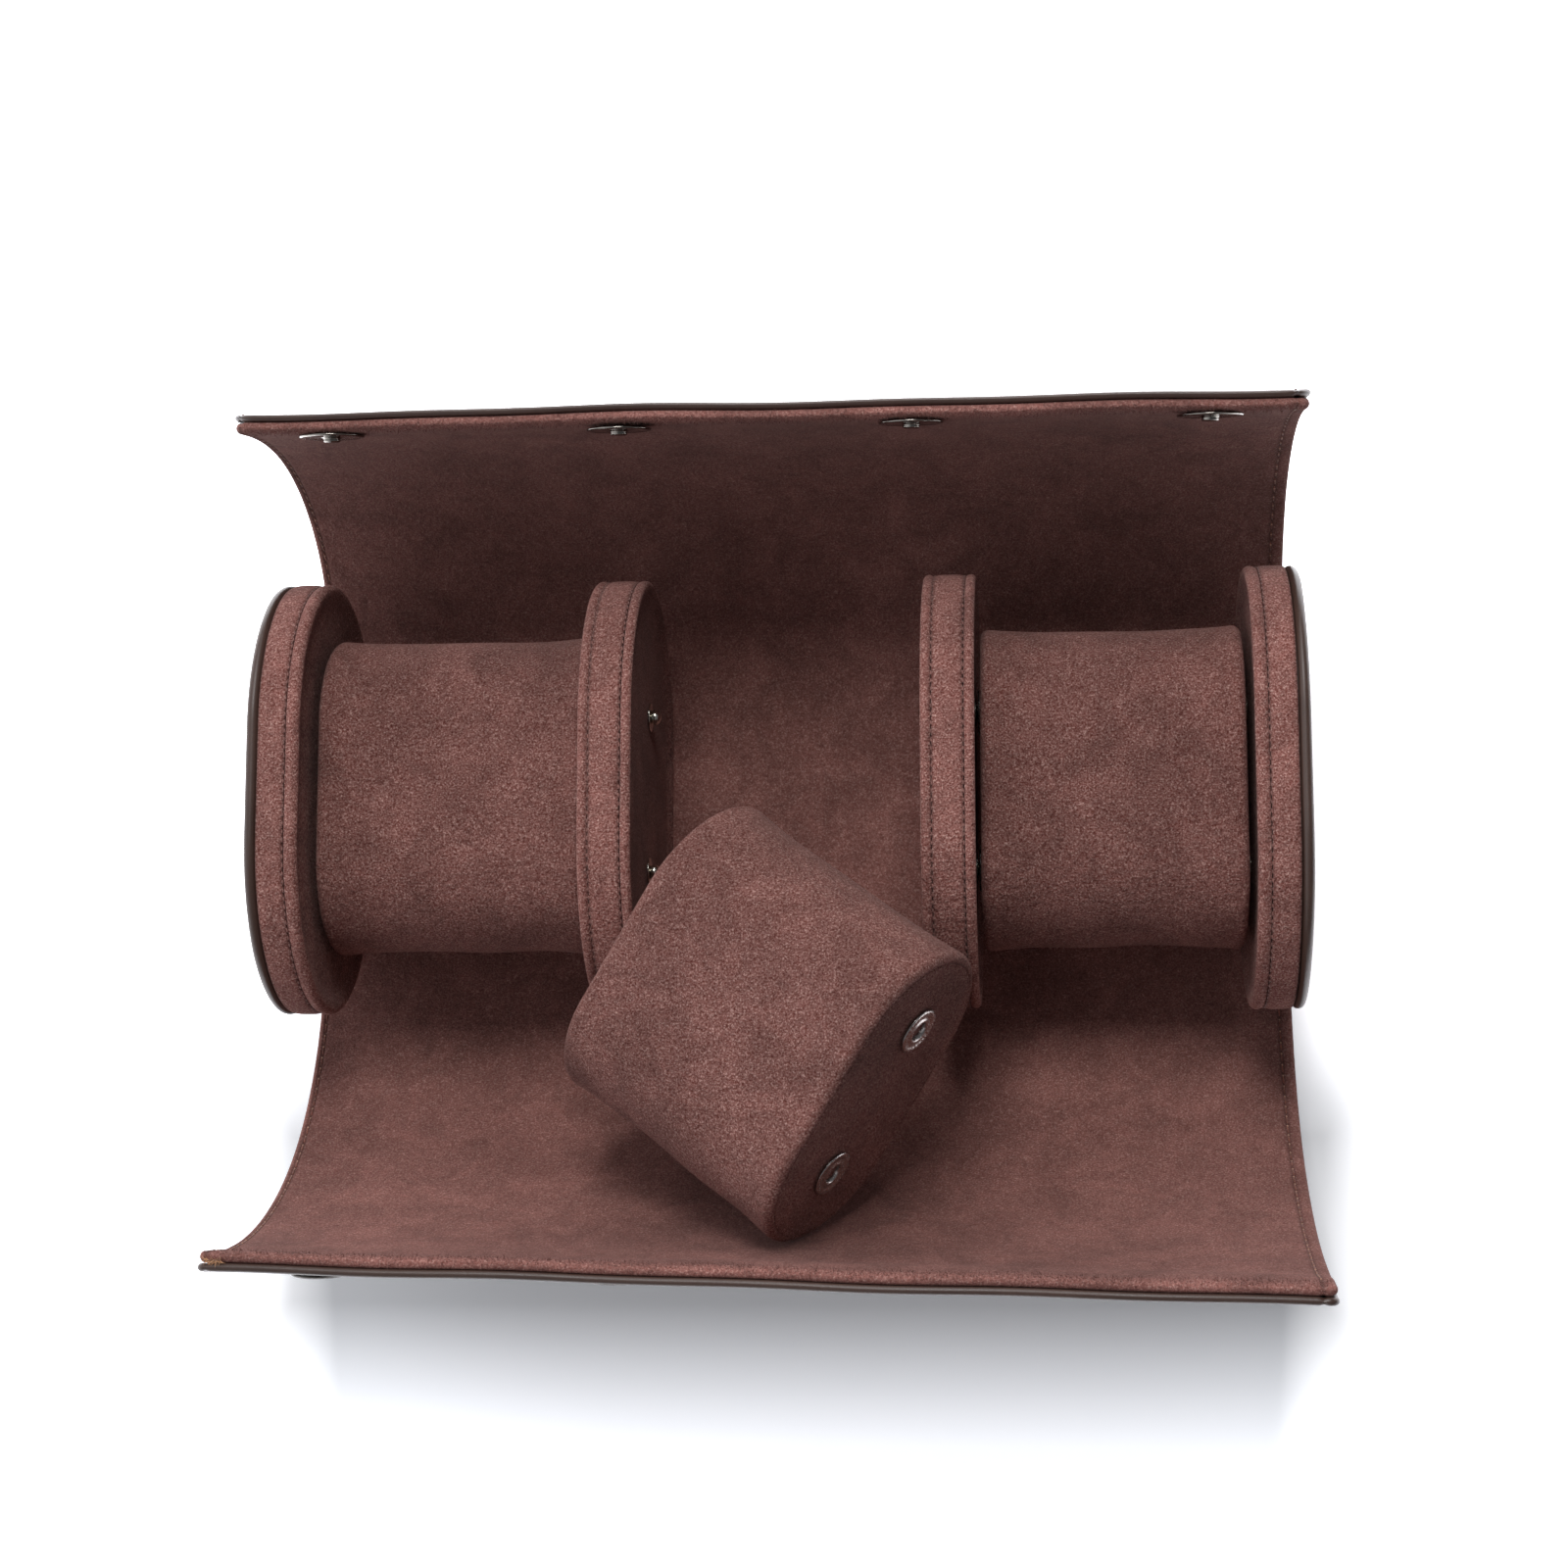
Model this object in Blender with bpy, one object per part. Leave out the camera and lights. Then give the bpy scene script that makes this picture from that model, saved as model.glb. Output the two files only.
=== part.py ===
"""Watch roll for three watches, lying open on its base.

A soft outer wrap of leather and suede curls up in front and behind. Two end caps
and two dividers stand on it and hold three cushions between press studs. The
middle cushion is out of its bay and leans in front of it.

Frame: origin at the centre of the flat base, on the surface that it rests on.
+X runs along the roll, +Y to the rear flap, +Z up. All sizes are in metres.
Run with: blender --background --python part.py
"""

import math

import bmesh
import bpy
from mathutils import Euler, Matrix, Vector

# Clearances
SEAT_GAP = 0.0003           # between layers and under what rests on them
METAL_GAP = 0.0002          # under the thin flange of a press stud or socket
CUSHION_END_GAP = 0.0007    # from a cushion's end to the edges of its bay

# Overall
BODY_LENGTH = 0.2360        # over the two caps
CAP_DEPTH = 0.1014
CAP_HEIGHT = 0.0704

# Wrap
WRAP_OVERHANG = 0.0003      # how far each side edge stands past the cap's face
WRAP_LENGTH = BODY_LENGTH + 2 * WRAP_OVERHANG
LEATHER_THICKNESS = 0.0019
LINING_THICKNESS = 0.0024
LINING_MARGIN = 0.0006      # leather left bare outside the lining
WRAP_THICKNESS = LEATHER_THICKNESS + SEAT_GAP + LINING_THICKNESS
BASE_SETBACK = 0.01705      # the base stays flat to this far inside the caps' front and rear
BASE_HALF_DEPTH = CAP_DEPTH / 2 - BASE_SETBACK
FRONT_FLAP_LENGTH = 0.1318
REAR_FLAP_LENGTH = 0.1110
# Each flap turns up by this angle at its edge, at the left and the right end.
FRONT_TURN = (math.radians(95.3), math.radians(84.1))
REAR_TURN = (math.radians(102.1), math.radians(104.3))
# How much of that turn comes early, near the base.
FRONT_EARLY_TURN = (math.radians(35.1), math.radians(51.7))
REAR_EARLY_TURN = (math.radians(77.1), math.radians(72.1))
EDGE_ROUND = 0.0007

# End caps and dividers
CAP_FLAT_HALF = 0.0123      # half of the straight run on top and underneath
CAP_THICKNESS = 0.0122
CAP_LEATHER_THICKNESS = 0.0028
CAP_PANEL_THICKNESS = 0.0030
DIVIDER_SETBACK = 0.0006    # a divider stays this far inside the caps, front and rear
DIVIDER_DEPTH = CAP_DEPTH - 2 * DIVIDER_SETBACK
DIVIDER_THICKNESS = 0.0120
DIVIDER_PANEL_THICKNESS = 0.0024
DIVIDER_CENTRES = {"left": -0.0367, "right": 0.0392}
BAND_THICKNESS = 0.0016
BAND_SINK = 0.0004          # the band lies this much below the piping beside it
PANEL_ROUND = 0.0011
PANEL_DISH = 0.0010         # how far a panel's middle lies below its rim
PANEL_DISH_INSET = 0.0050
CENTRE_HEIGHT = WRAP_THICKNESS + SEAT_GAP + CAP_HEIGHT / 2

# Cushions
CUSHION_DEPTH = 0.0744
CUSHION_HEIGHT = 0.0456
CUSHION_ROUND = 0.0022
END_PANEL_THICKNESS = 0.0026
END_PANEL_ROUND = 0.0008
# The cushion that is out of its bay. Its centre lies off the middle of its bay, in front of
# the dividers and above the middle of its row. The turn is its roll, pitch and yaw.
REMOVED_SHIFT = -0.00225
REMOVED_FORWARD = 0.0036
REMOVED_LIFT = 0.0292
REMOVED_TURN = Euler((math.radians(13.0), math.radians(-17.2), math.radians(-36.3)), "XYZ")

# Press studs of the cushions
STUD_SPACING = 0.0364
STUD_FLANGE_RADIUS = 0.0034
STUD_FLANGE_THICKNESS = 0.0004
STUD_NECK_RADIUS = 0.0013
STUD_BALL_RADIUS = 0.0018
STUD_HEIGHT = 0.0027
SOCKET_FLANGE_RADIUS = 0.0054
SOCKET_FLANGE_THICKNESS = 0.00055
SOCKET_CUP_RADIUS = 0.0031
SOCKET_CUP_DEPTH = 0.0022
SOCKET_HOLE_RADIUS = STUD_BALL_RADIUS + SEAT_GAP

# Press studs that close the flaps
FLAP_STUD_SHARES = (-0.410, -0.1365, 0.1365, 0.410)
FLAP_STUD_FROM_EDGE = 0.0075
FLAP_STUD_RADIUS = 0.00725
FLAP_STUD_THICKNESS = 0.0006
FLAP_NUB_RADIUS = 0.0019
FLAP_NUB_HEIGHT = 0.0010     # above the disc
FLAP_SOCKET_RADIUS = 0.00625
FLAP_SOCKET_THICKNESS = 0.0011
FLAP_SEAT_GAP = 0.00045     # the flat disc spans the curve of the flap

# Fineness
FRONT_STEPS = 15
REAR_STEPS = 13
LENGTH_STEPS = 3
CORNER_STEPS = 7
ROUND_STEPS = 2
TURN_STEPS = 10
BEND_SAMPLES = 240

COLOURS = {
    "leather": ((0.030, 0.019, 0.015, 1.0), 0.45, 0.0),
    "suede": ((0.110, 0.048, 0.042, 1.0), 0.95, 0.0),
    "board": ((0.190, 0.150, 0.110, 1.0), 0.90, 0.0),
    "nickel": ((0.560, 0.540, 0.520, 1.0), 0.25, 1.0),
    "gunmetal": ((0.190, 0.175, 0.170, 1.0), 0.35, 1.0),
}


def clear_scene():
    for item in list(bpy.data.objects):
        bpy.data.objects.remove(item, do_unlink=True)


def material(name):
    found = bpy.data.materials.get(name)
    if found:
        return found
    colour, roughness, metallic = COLOURS[name]
    made = bpy.data.materials.new(name)
    made.use_nodes = True
    shader = made.node_tree.nodes["Principled BSDF"]
    shader.inputs["Base Color"].default_value = colour
    shader.inputs["Roughness"].default_value = roughness
    shader.inputs["Metallic"].default_value = metallic
    made.diffuse_color = colour
    return made


def add_object(name, form, look, sharp_angle=35.0):
    """Turn a bmesh into a named object with smooth faces and sharp corners."""
    bmesh.ops.recalc_face_normals(form, faces=form.faces)
    mesh = bpy.data.meshes.new(name)
    form.to_mesh(mesh)
    form.free()
    mesh.shade_smooth()
    mesh.set_sharp_from_angle(angle=math.radians(sharp_angle))
    mesh.materials.append(material(look))
    made = bpy.data.objects.new(name, mesh)
    bpy.context.scene.collection.objects.link(made)
    return made


# Wrap

def bend_angle(turn, early, share):
    """Angle that a flap has turned through, at a share of its length."""
    return turn * share + early * share * (1.0 - share)


def flap_curve(length, turn, early):
    """Depth, height and angle along a flap, measured on the lining's face."""
    step = 1.0 / BEND_SAMPLES
    depth = 0.0
    height = 0.0
    samples = [(depth, height, 0.0)]
    for index in range(BEND_SAMPLES):
        middle = bend_angle(turn, early, (index + 0.5) * step)
        depth += math.cos(middle) * length * step
        height += math.sin(middle) * length * step
        samples.append((depth, height, bend_angle(turn, early, (index + 1) * step)))
    return samples


def flap_station(front, x, share):
    """Point on the lining's face, and the direction that is outwards from it."""
    along = (x + WRAP_LENGTH / 2) / WRAP_LENGTH
    length = FRONT_FLAP_LENGTH if front else REAR_FLAP_LENGTH
    turns = FRONT_TURN if front else REAR_TURN
    earlies = FRONT_EARLY_TURN if front else REAR_EARLY_TURN
    turn = turns[0] + (turns[1] - turns[0]) * along
    early = earlies[0] + (earlies[1] - earlies[0]) * along
    curve = flap_curve(length, turn, early)
    depth, height, angle = curve[round(share * BEND_SAMPLES)]
    side = -1.0 if front else 1.0
    point = Vector((x, side * (BASE_HALF_DEPTH + depth), WRAP_THICKNESS + height))
    outwards = Vector((0.0, side * math.sin(angle), -math.cos(angle)))
    return point, outwards


def wrap_stations(x):
    """The stations of one cross-section, from the front edge to the rear edge."""
    front = [flap_station(True, x, 1.0 - i / FRONT_STEPS) for i in range(FRONT_STEPS + 1)]
    rear = [flap_station(False, x, i / REAR_STEPS) for i in range(REAR_STEPS + 1)]
    return front + rear


def add_wrap_layer(name, look, top, thickness, side_margin):
    """One bent layer of the wrap, its upper face a set distance below the lining's face."""
    form = bmesh.new()
    half = WRAP_LENGTH / 2 - side_margin
    rows = []
    for step in range(LENGTH_STEPS + 1):
        x = half * (2.0 * step / LENGTH_STEPS - 1.0)
        rows.append([form.verts.new(point + outwards * top) for point, outwards in wrap_stations(x)])
    for near, far in zip(rows, rows[1:]):
        for i in range(len(near) - 1):
            form.faces.new((near[i], far[i], far[i + 1], near[i + 1]))
    made = add_object(name, form, look)
    if made.data.polygons[len(made.data.polygons) // 2].normal.z < 0.0:
        made.data.flip_normals()
    wall = made.modifiers.new("Thickness", "SOLIDIFY")
    wall.thickness = thickness
    wall.offset = -1.0
    wall.use_even_offset = True
    rim = made.modifiers.new("Rounded edge", "BEVEL")
    rim.width = EDGE_ROUND
    rim.segments = 1
    rim.limit_method = "ANGLE"
    rim.angle_limit = math.radians(60.0)
    return made


# Rounded plates, bands and cushions

def outline(depth, height, flat_half, inset):
    """Closed outline across the roll: straight top and bottom, elliptical corners."""
    across = depth / 2 - flat_half
    up = height / 2
    corners = ((1, 0), (-1, 90), (-1, 180), (1, 270))
    points = []
    for side, start in corners:
        for step in range(CORNER_STEPS + 1):
            angle = math.radians(start + 90.0 * step / CORNER_STEPS)
            y = side * flat_half + (across - inset) * math.cos(angle)
            z = (up - inset) * math.sin(angle)
            if not points or (Vector((y, z)) - Vector(points[-1])).length > 1e-6:
                points.append((y, z))
    if (Vector(points[0]) - Vector(points[-1])).length < 1e-6:
        points.pop()
    return points


def loft(name, look, shape, stations, centre, hollow=False):
    """Loft the outline through (x, inset) stations, closed by end faces or into a ring."""
    form = bmesh.new()
    rings = []
    for x, inset in stations:
        points = outline(*shape, inset)
        rings.append([form.verts.new(centre + Vector((x, y, z))) for y, z in points])
    pairs = list(zip(rings, rings[1:]))
    if hollow:
        pairs.append((rings[-1], rings[0]))
    for near, far in pairs:
        for i in range(len(near)):
            j = (i + 1) % len(near)
            form.faces.new((near[i], near[j], far[j], far[i]))
    if not hollow:
        form.faces.new(rings[0])
        form.faces.new(rings[-1])
    return add_object(name, form, look)


def rounded_side(x, inset, radius, outwards):
    """Stations of a quarter round that ends flush with the outline, on one side."""
    stations = []
    for step in range(ROUND_STEPS + 1):
        angle = math.radians(90.0 * step / ROUND_STEPS)
        stations.append((
            x - outwards * radius * (1.0 - math.cos(angle)),
            inset + radius * (1.0 - math.sin(angle)),
        ))
    return stations


CAP_SHAPE = (CAP_DEPTH, CAP_HEIGHT, CAP_FLAT_HALF)
DIVIDER_SHAPE = (DIVIDER_DEPTH, CAP_HEIGHT, CAP_FLAT_HALF)
CUSHION_SHAPE = (CUSHION_DEPTH, CUSHION_HEIGHT, (CUSHION_DEPTH - CUSHION_HEIGHT) / 2)


def add_faced_panel(name, shape, x, thickness, outwards):
    """Suede panel with a puffed rim and a slightly sunken middle; x is its rim's outer face."""
    back = x - outwards * thickness
    stations = [
        (x - outwards * PANEL_DISH, PANEL_DISH_INSET),
        (x, PANEL_ROUND + 0.0012),
    ]
    stations += rounded_side(x, 0.0, PANEL_ROUND, outwards)[1:]
    stations.append((back, BAND_SINK))
    return loft(name, "suede", shape, stations, Vector((0.0, 0.0, CENTRE_HEIGHT)))


def add_band_and_core(prefix, shape, x_from, x_to):
    """Suede band round the rim and the stiff board that it is stretched over."""
    centre = Vector((0.0, 0.0, CENTRE_HEIGHT))
    inner = BAND_SINK + BAND_THICKNESS
    band = [(x_from, inner), (x_from, BAND_SINK), (x_to, BAND_SINK), (x_to, inner)]
    loft(prefix + "_band", "suede", shape, band, centre, hollow=True)
    core = [(x_from, inner + SEAT_GAP), (x_to, inner + SEAT_GAP)]
    loft(prefix + "_core", "board", shape, core, centre)


def turned(name, look, profile, axis_matrix):
    """Turn a closed (radius, height) profile about its own axis, then put it in place."""
    form = bmesh.new()
    rings = []
    for radius, height in profile:
        if radius == 0.0:
            rings.append([form.verts.new((0.0, 0.0, height))])
            continue
        ring = []
        for step in range(TURN_STEPS):
            angle = 2.0 * math.pi * step / TURN_STEPS
            ring.append(form.verts.new((radius * math.cos(angle), radius * math.sin(angle), height)))
        rings.append(ring)
    closed = len(rings[0]) > 1
    pairs = list(zip(rings, rings[1:]))
    if closed:
        pairs.append((rings[-1], rings[0]))
    for near, far in pairs:
        for i in range(TURN_STEPS):
            j = (i + 1) % TURN_STEPS
            corners = [near[i % len(near)], near[j % len(near)], far[j % len(far)], far[i % len(far)]]
            form.faces.new(list(dict.fromkeys(corners)))
    made = add_object(name, form, look)
    made.matrix_world = axis_matrix
    return made


def facing(point, direction):
    """Matrix that puts a turned piece's base at a point, with its axis along a direction."""
    return Matrix.Translation(point) @ direction.to_track_quat("Z", "Y").to_matrix().to_4x4()


def stud_profile():
    """Flange, neck and ball of a cushion's press stud, from the underside to the tip."""
    ball_centre = STUD_HEIGHT - STUD_BALL_RADIUS * 0.8
    return [
        (0.0, 0.0),
        (STUD_FLANGE_RADIUS, 0.0),
        (STUD_FLANGE_RADIUS, STUD_FLANGE_THICKNESS),
        (STUD_NECK_RADIUS, STUD_FLANGE_THICKNESS),
        (STUD_BALL_RADIUS, ball_centre),
        (STUD_BALL_RADIUS * 0.7, STUD_HEIGHT),
        (0.0, STUD_HEIGHT),
    ]


def socket_profile():
    """Flange and cup of a cushion's press socket, with the hole that takes the ball."""
    floor = -SOCKET_CUP_DEPTH
    skin = 0.0004
    return [
        (0.0, floor),
        (SOCKET_CUP_RADIUS, floor),
        (SOCKET_CUP_RADIUS, METAL_GAP),
        (SOCKET_FLANGE_RADIUS, METAL_GAP),
        (SOCKET_FLANGE_RADIUS * 0.9, METAL_GAP + SOCKET_FLANGE_THICKNESS),
        (SOCKET_HOLE_RADIUS, METAL_GAP + SOCKET_FLANGE_THICKNESS * 0.6),
        (SOCKET_HOLE_RADIUS, floor + skin),
        (0.0, floor + skin),
    ]


def add_panel_studs(prefix, x, outwards):
    """Two press studs on a panel, one towards the front and one towards the rear."""
    seat = x - outwards * (PANEL_DISH - METAL_GAP)
    for place, side in (("front", -1), ("rear", 1)):
        point = Vector((seat, side * STUD_SPACING / 2, CENTRE_HEIGHT))
        turned(f"{prefix}_stud_{place}", "nickel", stud_profile(), facing(point, Vector((outwards, 0, 0))))


def add_end_cap(side, outwards):
    """Leather-covered cap; outwards is the X direction away from the roll's middle."""
    prefix = f"{side}_cap"
    face = outwards * BODY_LENGTH / 2
    leather_in = face - outwards * CAP_LEATHER_THICKNESS
    rim = face - outwards * CAP_THICKNESS
    panel_back = rim + outwards * CAP_PANEL_THICKNESS
    leather = rounded_side(face, 0.0, CAP_LEATHER_THICKNESS * 0.7, outwards)
    leather.append((leather_in, 0.0))
    loft(prefix + "_leather", "leather", CAP_SHAPE, leather, Vector((0.0, 0.0, CENTRE_HEIGHT)))
    add_band_and_core(prefix, CAP_SHAPE, leather_in - outwards * SEAT_GAP, panel_back + outwards * SEAT_GAP)
    add_faced_panel(prefix + "_panel", CAP_SHAPE, rim, CAP_PANEL_THICKNESS, -outwards)
    add_panel_studs(prefix, rim, -outwards)


def add_divider(side):
    """Suede divider with press studs on both faces."""
    prefix = f"{side}_divider"
    centre = DIVIDER_CENTRES[side]
    reach = DIVIDER_THICKNESS / 2
    band_reach = reach - DIVIDER_PANEL_THICKNESS - SEAT_GAP
    add_band_and_core(prefix, DIVIDER_SHAPE, centre - band_reach, centre + band_reach)
    for face, outwards in (("left", -1), ("right", 1)):
        rim = centre + outwards * reach
        panel = f"{prefix}_{face}_panel"
        add_faced_panel(panel, DIVIDER_SHAPE, rim, DIVIDER_PANEL_THICKNESS, outwards)
        add_panel_studs(f"{prefix}_{face}", rim, outwards)


def add_end_panel(name, x, outwards, holder):
    """Stiff end of a cushion, with a hole through it for the cup of each socket."""
    inset = CUSHION_ROUND
    stations = rounded_side(x, inset, END_PANEL_ROUND, outwards)
    stations.append((x - outwards * END_PANEL_THICKNESS, inset))
    panel = loft(name, "suede", CUSHION_SHAPE, stations, Vector())
    panel.parent = holder
    cutters = bmesh.new()
    for side in (-1, 1):
        place = Matrix.Translation((x, side * STUD_SPACING / 2, 0.0))
        bmesh.ops.create_cone(
            cutters,
            cap_ends=True,
            segments=TURN_STEPS,
            radius1=SOCKET_CUP_RADIUS + SEAT_GAP,
            radius2=SOCKET_CUP_RADIUS + SEAT_GAP,
            depth=4 * END_PANEL_THICKNESS,
            matrix=place @ Matrix.Rotation(math.pi / 2, 4, "Y"),
        )
    cutter = add_object(name + "_cutter", cutters, "board")
    cutter.parent = holder
    cutter.hide_render = True
    cutter.display_type = "WIRE"
    cut = panel.modifiers.new("Socket holes", "BOOLEAN")
    cut.operation = "DIFFERENCE"
    cut.solver = "EXACT"
    cut.object = cutter


def add_cushion(prefix, length, place, turn):
    """Cushion with a stiff end at each side and two press sockets in each end."""
    holder = bpy.data.objects.new(prefix, None)
    bpy.context.scene.collection.objects.link(holder)
    holder.location = place
    holder.rotation_euler = turn
    reach = length / 2 - END_PANEL_THICKNESS - SEAT_GAP
    stations = rounded_side(reach, 0.0, CUSHION_ROUND, 1)
    stations += list(reversed(rounded_side(-reach, 0.0, CUSHION_ROUND, -1)))
    body = loft(prefix + "_body", "suede", CUSHION_SHAPE, stations, Vector())
    body.parent = holder
    for end, outwards in (("left", -1), ("right", 1)):
        x = outwards * length / 2
        add_end_panel(f"{prefix}_{end}_end", x, outwards, holder)
        for row, side in (("front", -1), ("rear", 1)):
            point = Vector((x, side * STUD_SPACING / 2, 0.0))
            name = f"{prefix}_{end}_socket_{row}"
            socket = turned(name, "gunmetal", socket_profile(), facing(point, Vector((outwards, 0, 0))))
            socket.parent = holder


def add_cushions():
    """A cushion in the left and the right bay, and the middle one taken out of its bay."""
    half = DIVIDER_THICKNESS / 2
    cap_rim = BODY_LENGTH / 2 - CAP_THICKNESS
    bays = {
        "left": (-cap_rim, DIVIDER_CENTRES["left"] - half),
        "middle": (DIVIDER_CENTRES["left"] + half, DIVIDER_CENTRES["right"] - half),
        "right": (DIVIDER_CENTRES["right"] + half, cap_rim),
    }
    for name, (start, end) in bays.items():
        length = end - start - 2 * CUSHION_END_GAP
        if name == "middle":
            x = (start + end) / 2 + REMOVED_SHIFT
            place = Vector((x, -CAP_DEPTH / 2 - REMOVED_FORWARD, CENTRE_HEIGHT + REMOVED_LIFT))
            add_cushion("removed_cushion", length, place, REMOVED_TURN)
        else:
            place = Vector(((start + end) / 2, 0.0, CENTRE_HEIGHT))
            add_cushion(f"{name}_cushion", length, place, Euler((0.0, 0.0, 0.0)))


def socket_from_edge():
    """Distance from the front flap's edge at which a socket meets its stud when the roll is shut.

    The wrap goes round the caps once and laps over itself. Over the lap the rear flap lies
    outside the front one, so the same angle takes a longer stretch of it.
    """
    across = CAP_DEPTH / 2 - CAP_FLAT_HALF
    up = CAP_HEIGHT / 2
    ellipse = math.pi * (3 * (across + up) - math.sqrt((3 * across + up) * (across + 3 * up)))
    around = ellipse + 4 * CAP_FLAT_HALF
    lap = 2 * BASE_HALF_DEPTH + FRONT_FLAP_LENGTH + REAR_FLAP_LENGTH - around
    inner = (across + up) / 2
    outer = inner + WRAP_THICKNESS
    return max(FLAP_STUD_FROM_EDGE, (lap - FLAP_STUD_FROM_EDGE) * inner / outer)


def add_flap_fasteners():
    """Press studs inside the rear flap's edge and the sockets that they meet on the front flap."""
    tip = FLAP_STUD_THICKNESS + FLAP_NUB_HEIGHT
    stud = [
        (0.0, 0.0),
        (FLAP_STUD_RADIUS, 0.0),
        (FLAP_STUD_RADIUS * 0.93, FLAP_STUD_THICKNESS),
        (FLAP_NUB_RADIUS, FLAP_STUD_THICKNESS * 1.1),
        (FLAP_NUB_RADIUS, tip - FLAP_NUB_HEIGHT * 0.3),
        (FLAP_NUB_RADIUS * 0.7, tip),
        (0.0, tip),
    ]
    hole = FLAP_NUB_RADIUS + SEAT_GAP
    socket = [
        (hole, 0.0),
        (FLAP_SOCKET_RADIUS, 0.0),
        (FLAP_SOCKET_RADIUS, FLAP_SOCKET_THICKNESS * 0.5),
        (FLAP_SOCKET_RADIUS * 0.8, FLAP_SOCKET_THICKNESS),
        (hole, FLAP_SOCKET_THICKNESS),
    ]
    for number, share in enumerate(FLAP_STUD_SHARES, 1):
        x = share * WRAP_LENGTH
        point, outwards = flap_station(False, x, 1.0 - FLAP_STUD_FROM_EDGE / REAR_FLAP_LENGTH)
        seat = point - outwards * FLAP_SEAT_GAP
        turned(f"flap_stud_{number}", "nickel", stud, facing(seat, -outwards))
        point, outwards = flap_station(True, x, 1.0 - socket_from_edge() / FRONT_FLAP_LENGTH)
        seat = point + outwards * (WRAP_THICKNESS + SEAT_GAP)
        turned(f"flap_socket_{number}", "gunmetal", socket, facing(seat, outwards))


def main():
    clear_scene()
    leather_top = LINING_THICKNESS + SEAT_GAP
    add_wrap_layer("shell_lining", "suede", 0.0, LINING_THICKNESS, LINING_MARGIN)
    add_wrap_layer("shell_leather", "leather", leather_top, LEATHER_THICKNESS, 0.0)
    add_end_cap("left", -1)
    add_end_cap("right", 1)
    add_divider("left")
    add_divider("right")
    add_cushions()
    add_flap_fasteners()


main()
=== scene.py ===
"""Looks of the open watch roll: suede, leather, stitching and press studs.

Every visible piece is built here in metres, in the place of its solid in the frame.
The wrap is made as flat sheets, sewn flat, and then bent up at the front and rear.
"""

import math

import bpy
import numpy as np
from bpy.props import FloatProperty, FloatVectorProperty, PointerProperty
from mathutils import Euler, Matrix, Vector


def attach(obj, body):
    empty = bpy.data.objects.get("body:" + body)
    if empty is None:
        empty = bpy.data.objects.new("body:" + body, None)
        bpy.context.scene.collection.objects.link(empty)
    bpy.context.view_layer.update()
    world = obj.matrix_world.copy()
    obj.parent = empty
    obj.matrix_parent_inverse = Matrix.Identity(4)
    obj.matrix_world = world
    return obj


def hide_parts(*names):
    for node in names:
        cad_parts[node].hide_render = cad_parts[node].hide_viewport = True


bl_info = {
    "name": "Watch roll",
    "version": (1, 0, 0),
    "blender": (4, 5, 0),
    "location": "View3D > Sidebar > Watch roll",
    "description": "Builds the visible pieces of an open watch roll on its packed frame",
    "category": "Object",
}

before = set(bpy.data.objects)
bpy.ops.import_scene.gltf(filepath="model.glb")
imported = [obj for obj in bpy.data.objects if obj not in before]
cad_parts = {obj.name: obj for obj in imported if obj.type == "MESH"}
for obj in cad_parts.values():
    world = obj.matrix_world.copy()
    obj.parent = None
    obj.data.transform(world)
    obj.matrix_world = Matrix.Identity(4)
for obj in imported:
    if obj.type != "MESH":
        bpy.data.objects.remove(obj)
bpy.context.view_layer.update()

# Sizes that the solids share, in metres
SEAT_GAP = 0.0003
METAL_GAP = 0.0002
CUSHION_END_GAP = 0.0007
BODY_LENGTH = 0.2360
CAP_DEPTH = 0.1014
CAP_HEIGHT = 0.0704
WRAP_LENGTH = BODY_LENGTH + 0.0006
LEATHER_THICKNESS = 0.0019
LINING_THICKNESS = 0.0024
LINING_MARGIN = 0.0003
LINING_ROLL = 0.0036
WRAP_THICKNESS = LEATHER_THICKNESS + SEAT_GAP + LINING_THICKNESS
BASE_HALF_DEPTH = CAP_DEPTH / 2 - 0.01705
FRONT_FLAP_LENGTH = 0.1318
REAR_FLAP_LENGTH = 0.1110
FRONT_TURN = (math.radians(95.3), math.radians(84.1))
REAR_TURN = (math.radians(102.1), math.radians(104.3))
FRONT_EARLY_TURN = (math.radians(35.1), math.radians(51.7))
REAR_EARLY_TURN = (math.radians(77.1), math.radians(72.1))
CENTRE_HEIGHT = WRAP_THICKNESS + SEAT_GAP + CAP_HEIGHT / 2
CAP_FLAT_HALF = 0.0123
CAP_THICKNESS = 0.0122
CAP_LEATHER_THICKNESS = 0.0028
CAP_PANEL_THICKNESS = 0.0030
DIVIDER_DEPTH = CAP_DEPTH - 0.0012
DIVIDER_THICKNESS = 0.0120
DIVIDER_PANEL_THICKNESS = 0.0024
DIVIDER_CENTRES = {"left": -0.0367, "right": 0.0392}
BAND_THICKNESS = 0.0016
BAND_SINK = 0.0004
PANEL_DISH = 0.0010
CUSHION_DEPTH = 0.0744
CUSHION_HEIGHT = 0.0456
CUSHION_TURN = 0.0019
CUP_DEPTH = 0.0029
REMOVED_PLACE = (-0.0010, -0.0543, 0.0693)
REMOVED_TURN = Euler((math.radians(13.0), math.radians(-17.2), math.radians(-36.3)), "XYZ")
STUD_SPACING = 0.0364
FLAP_STUD_SHARES = (-0.410, -0.1365, 0.1365, 0.410)
FLAP_STUD_FROM_EDGE = 0.0075

CAP_SHAPE = (CAP_DEPTH, CAP_HEIGHT, CAP_FLAT_HALF)
DIVIDER_SHAPE = (DIVIDER_DEPTH, CAP_HEIGHT, CAP_FLAT_HALF)
CUSHION_SHAPE = (CUSHION_DEPTH, CUSHION_HEIGHT, (CUSHION_DEPTH - CUSHION_HEIGHT) / 2)

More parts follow.
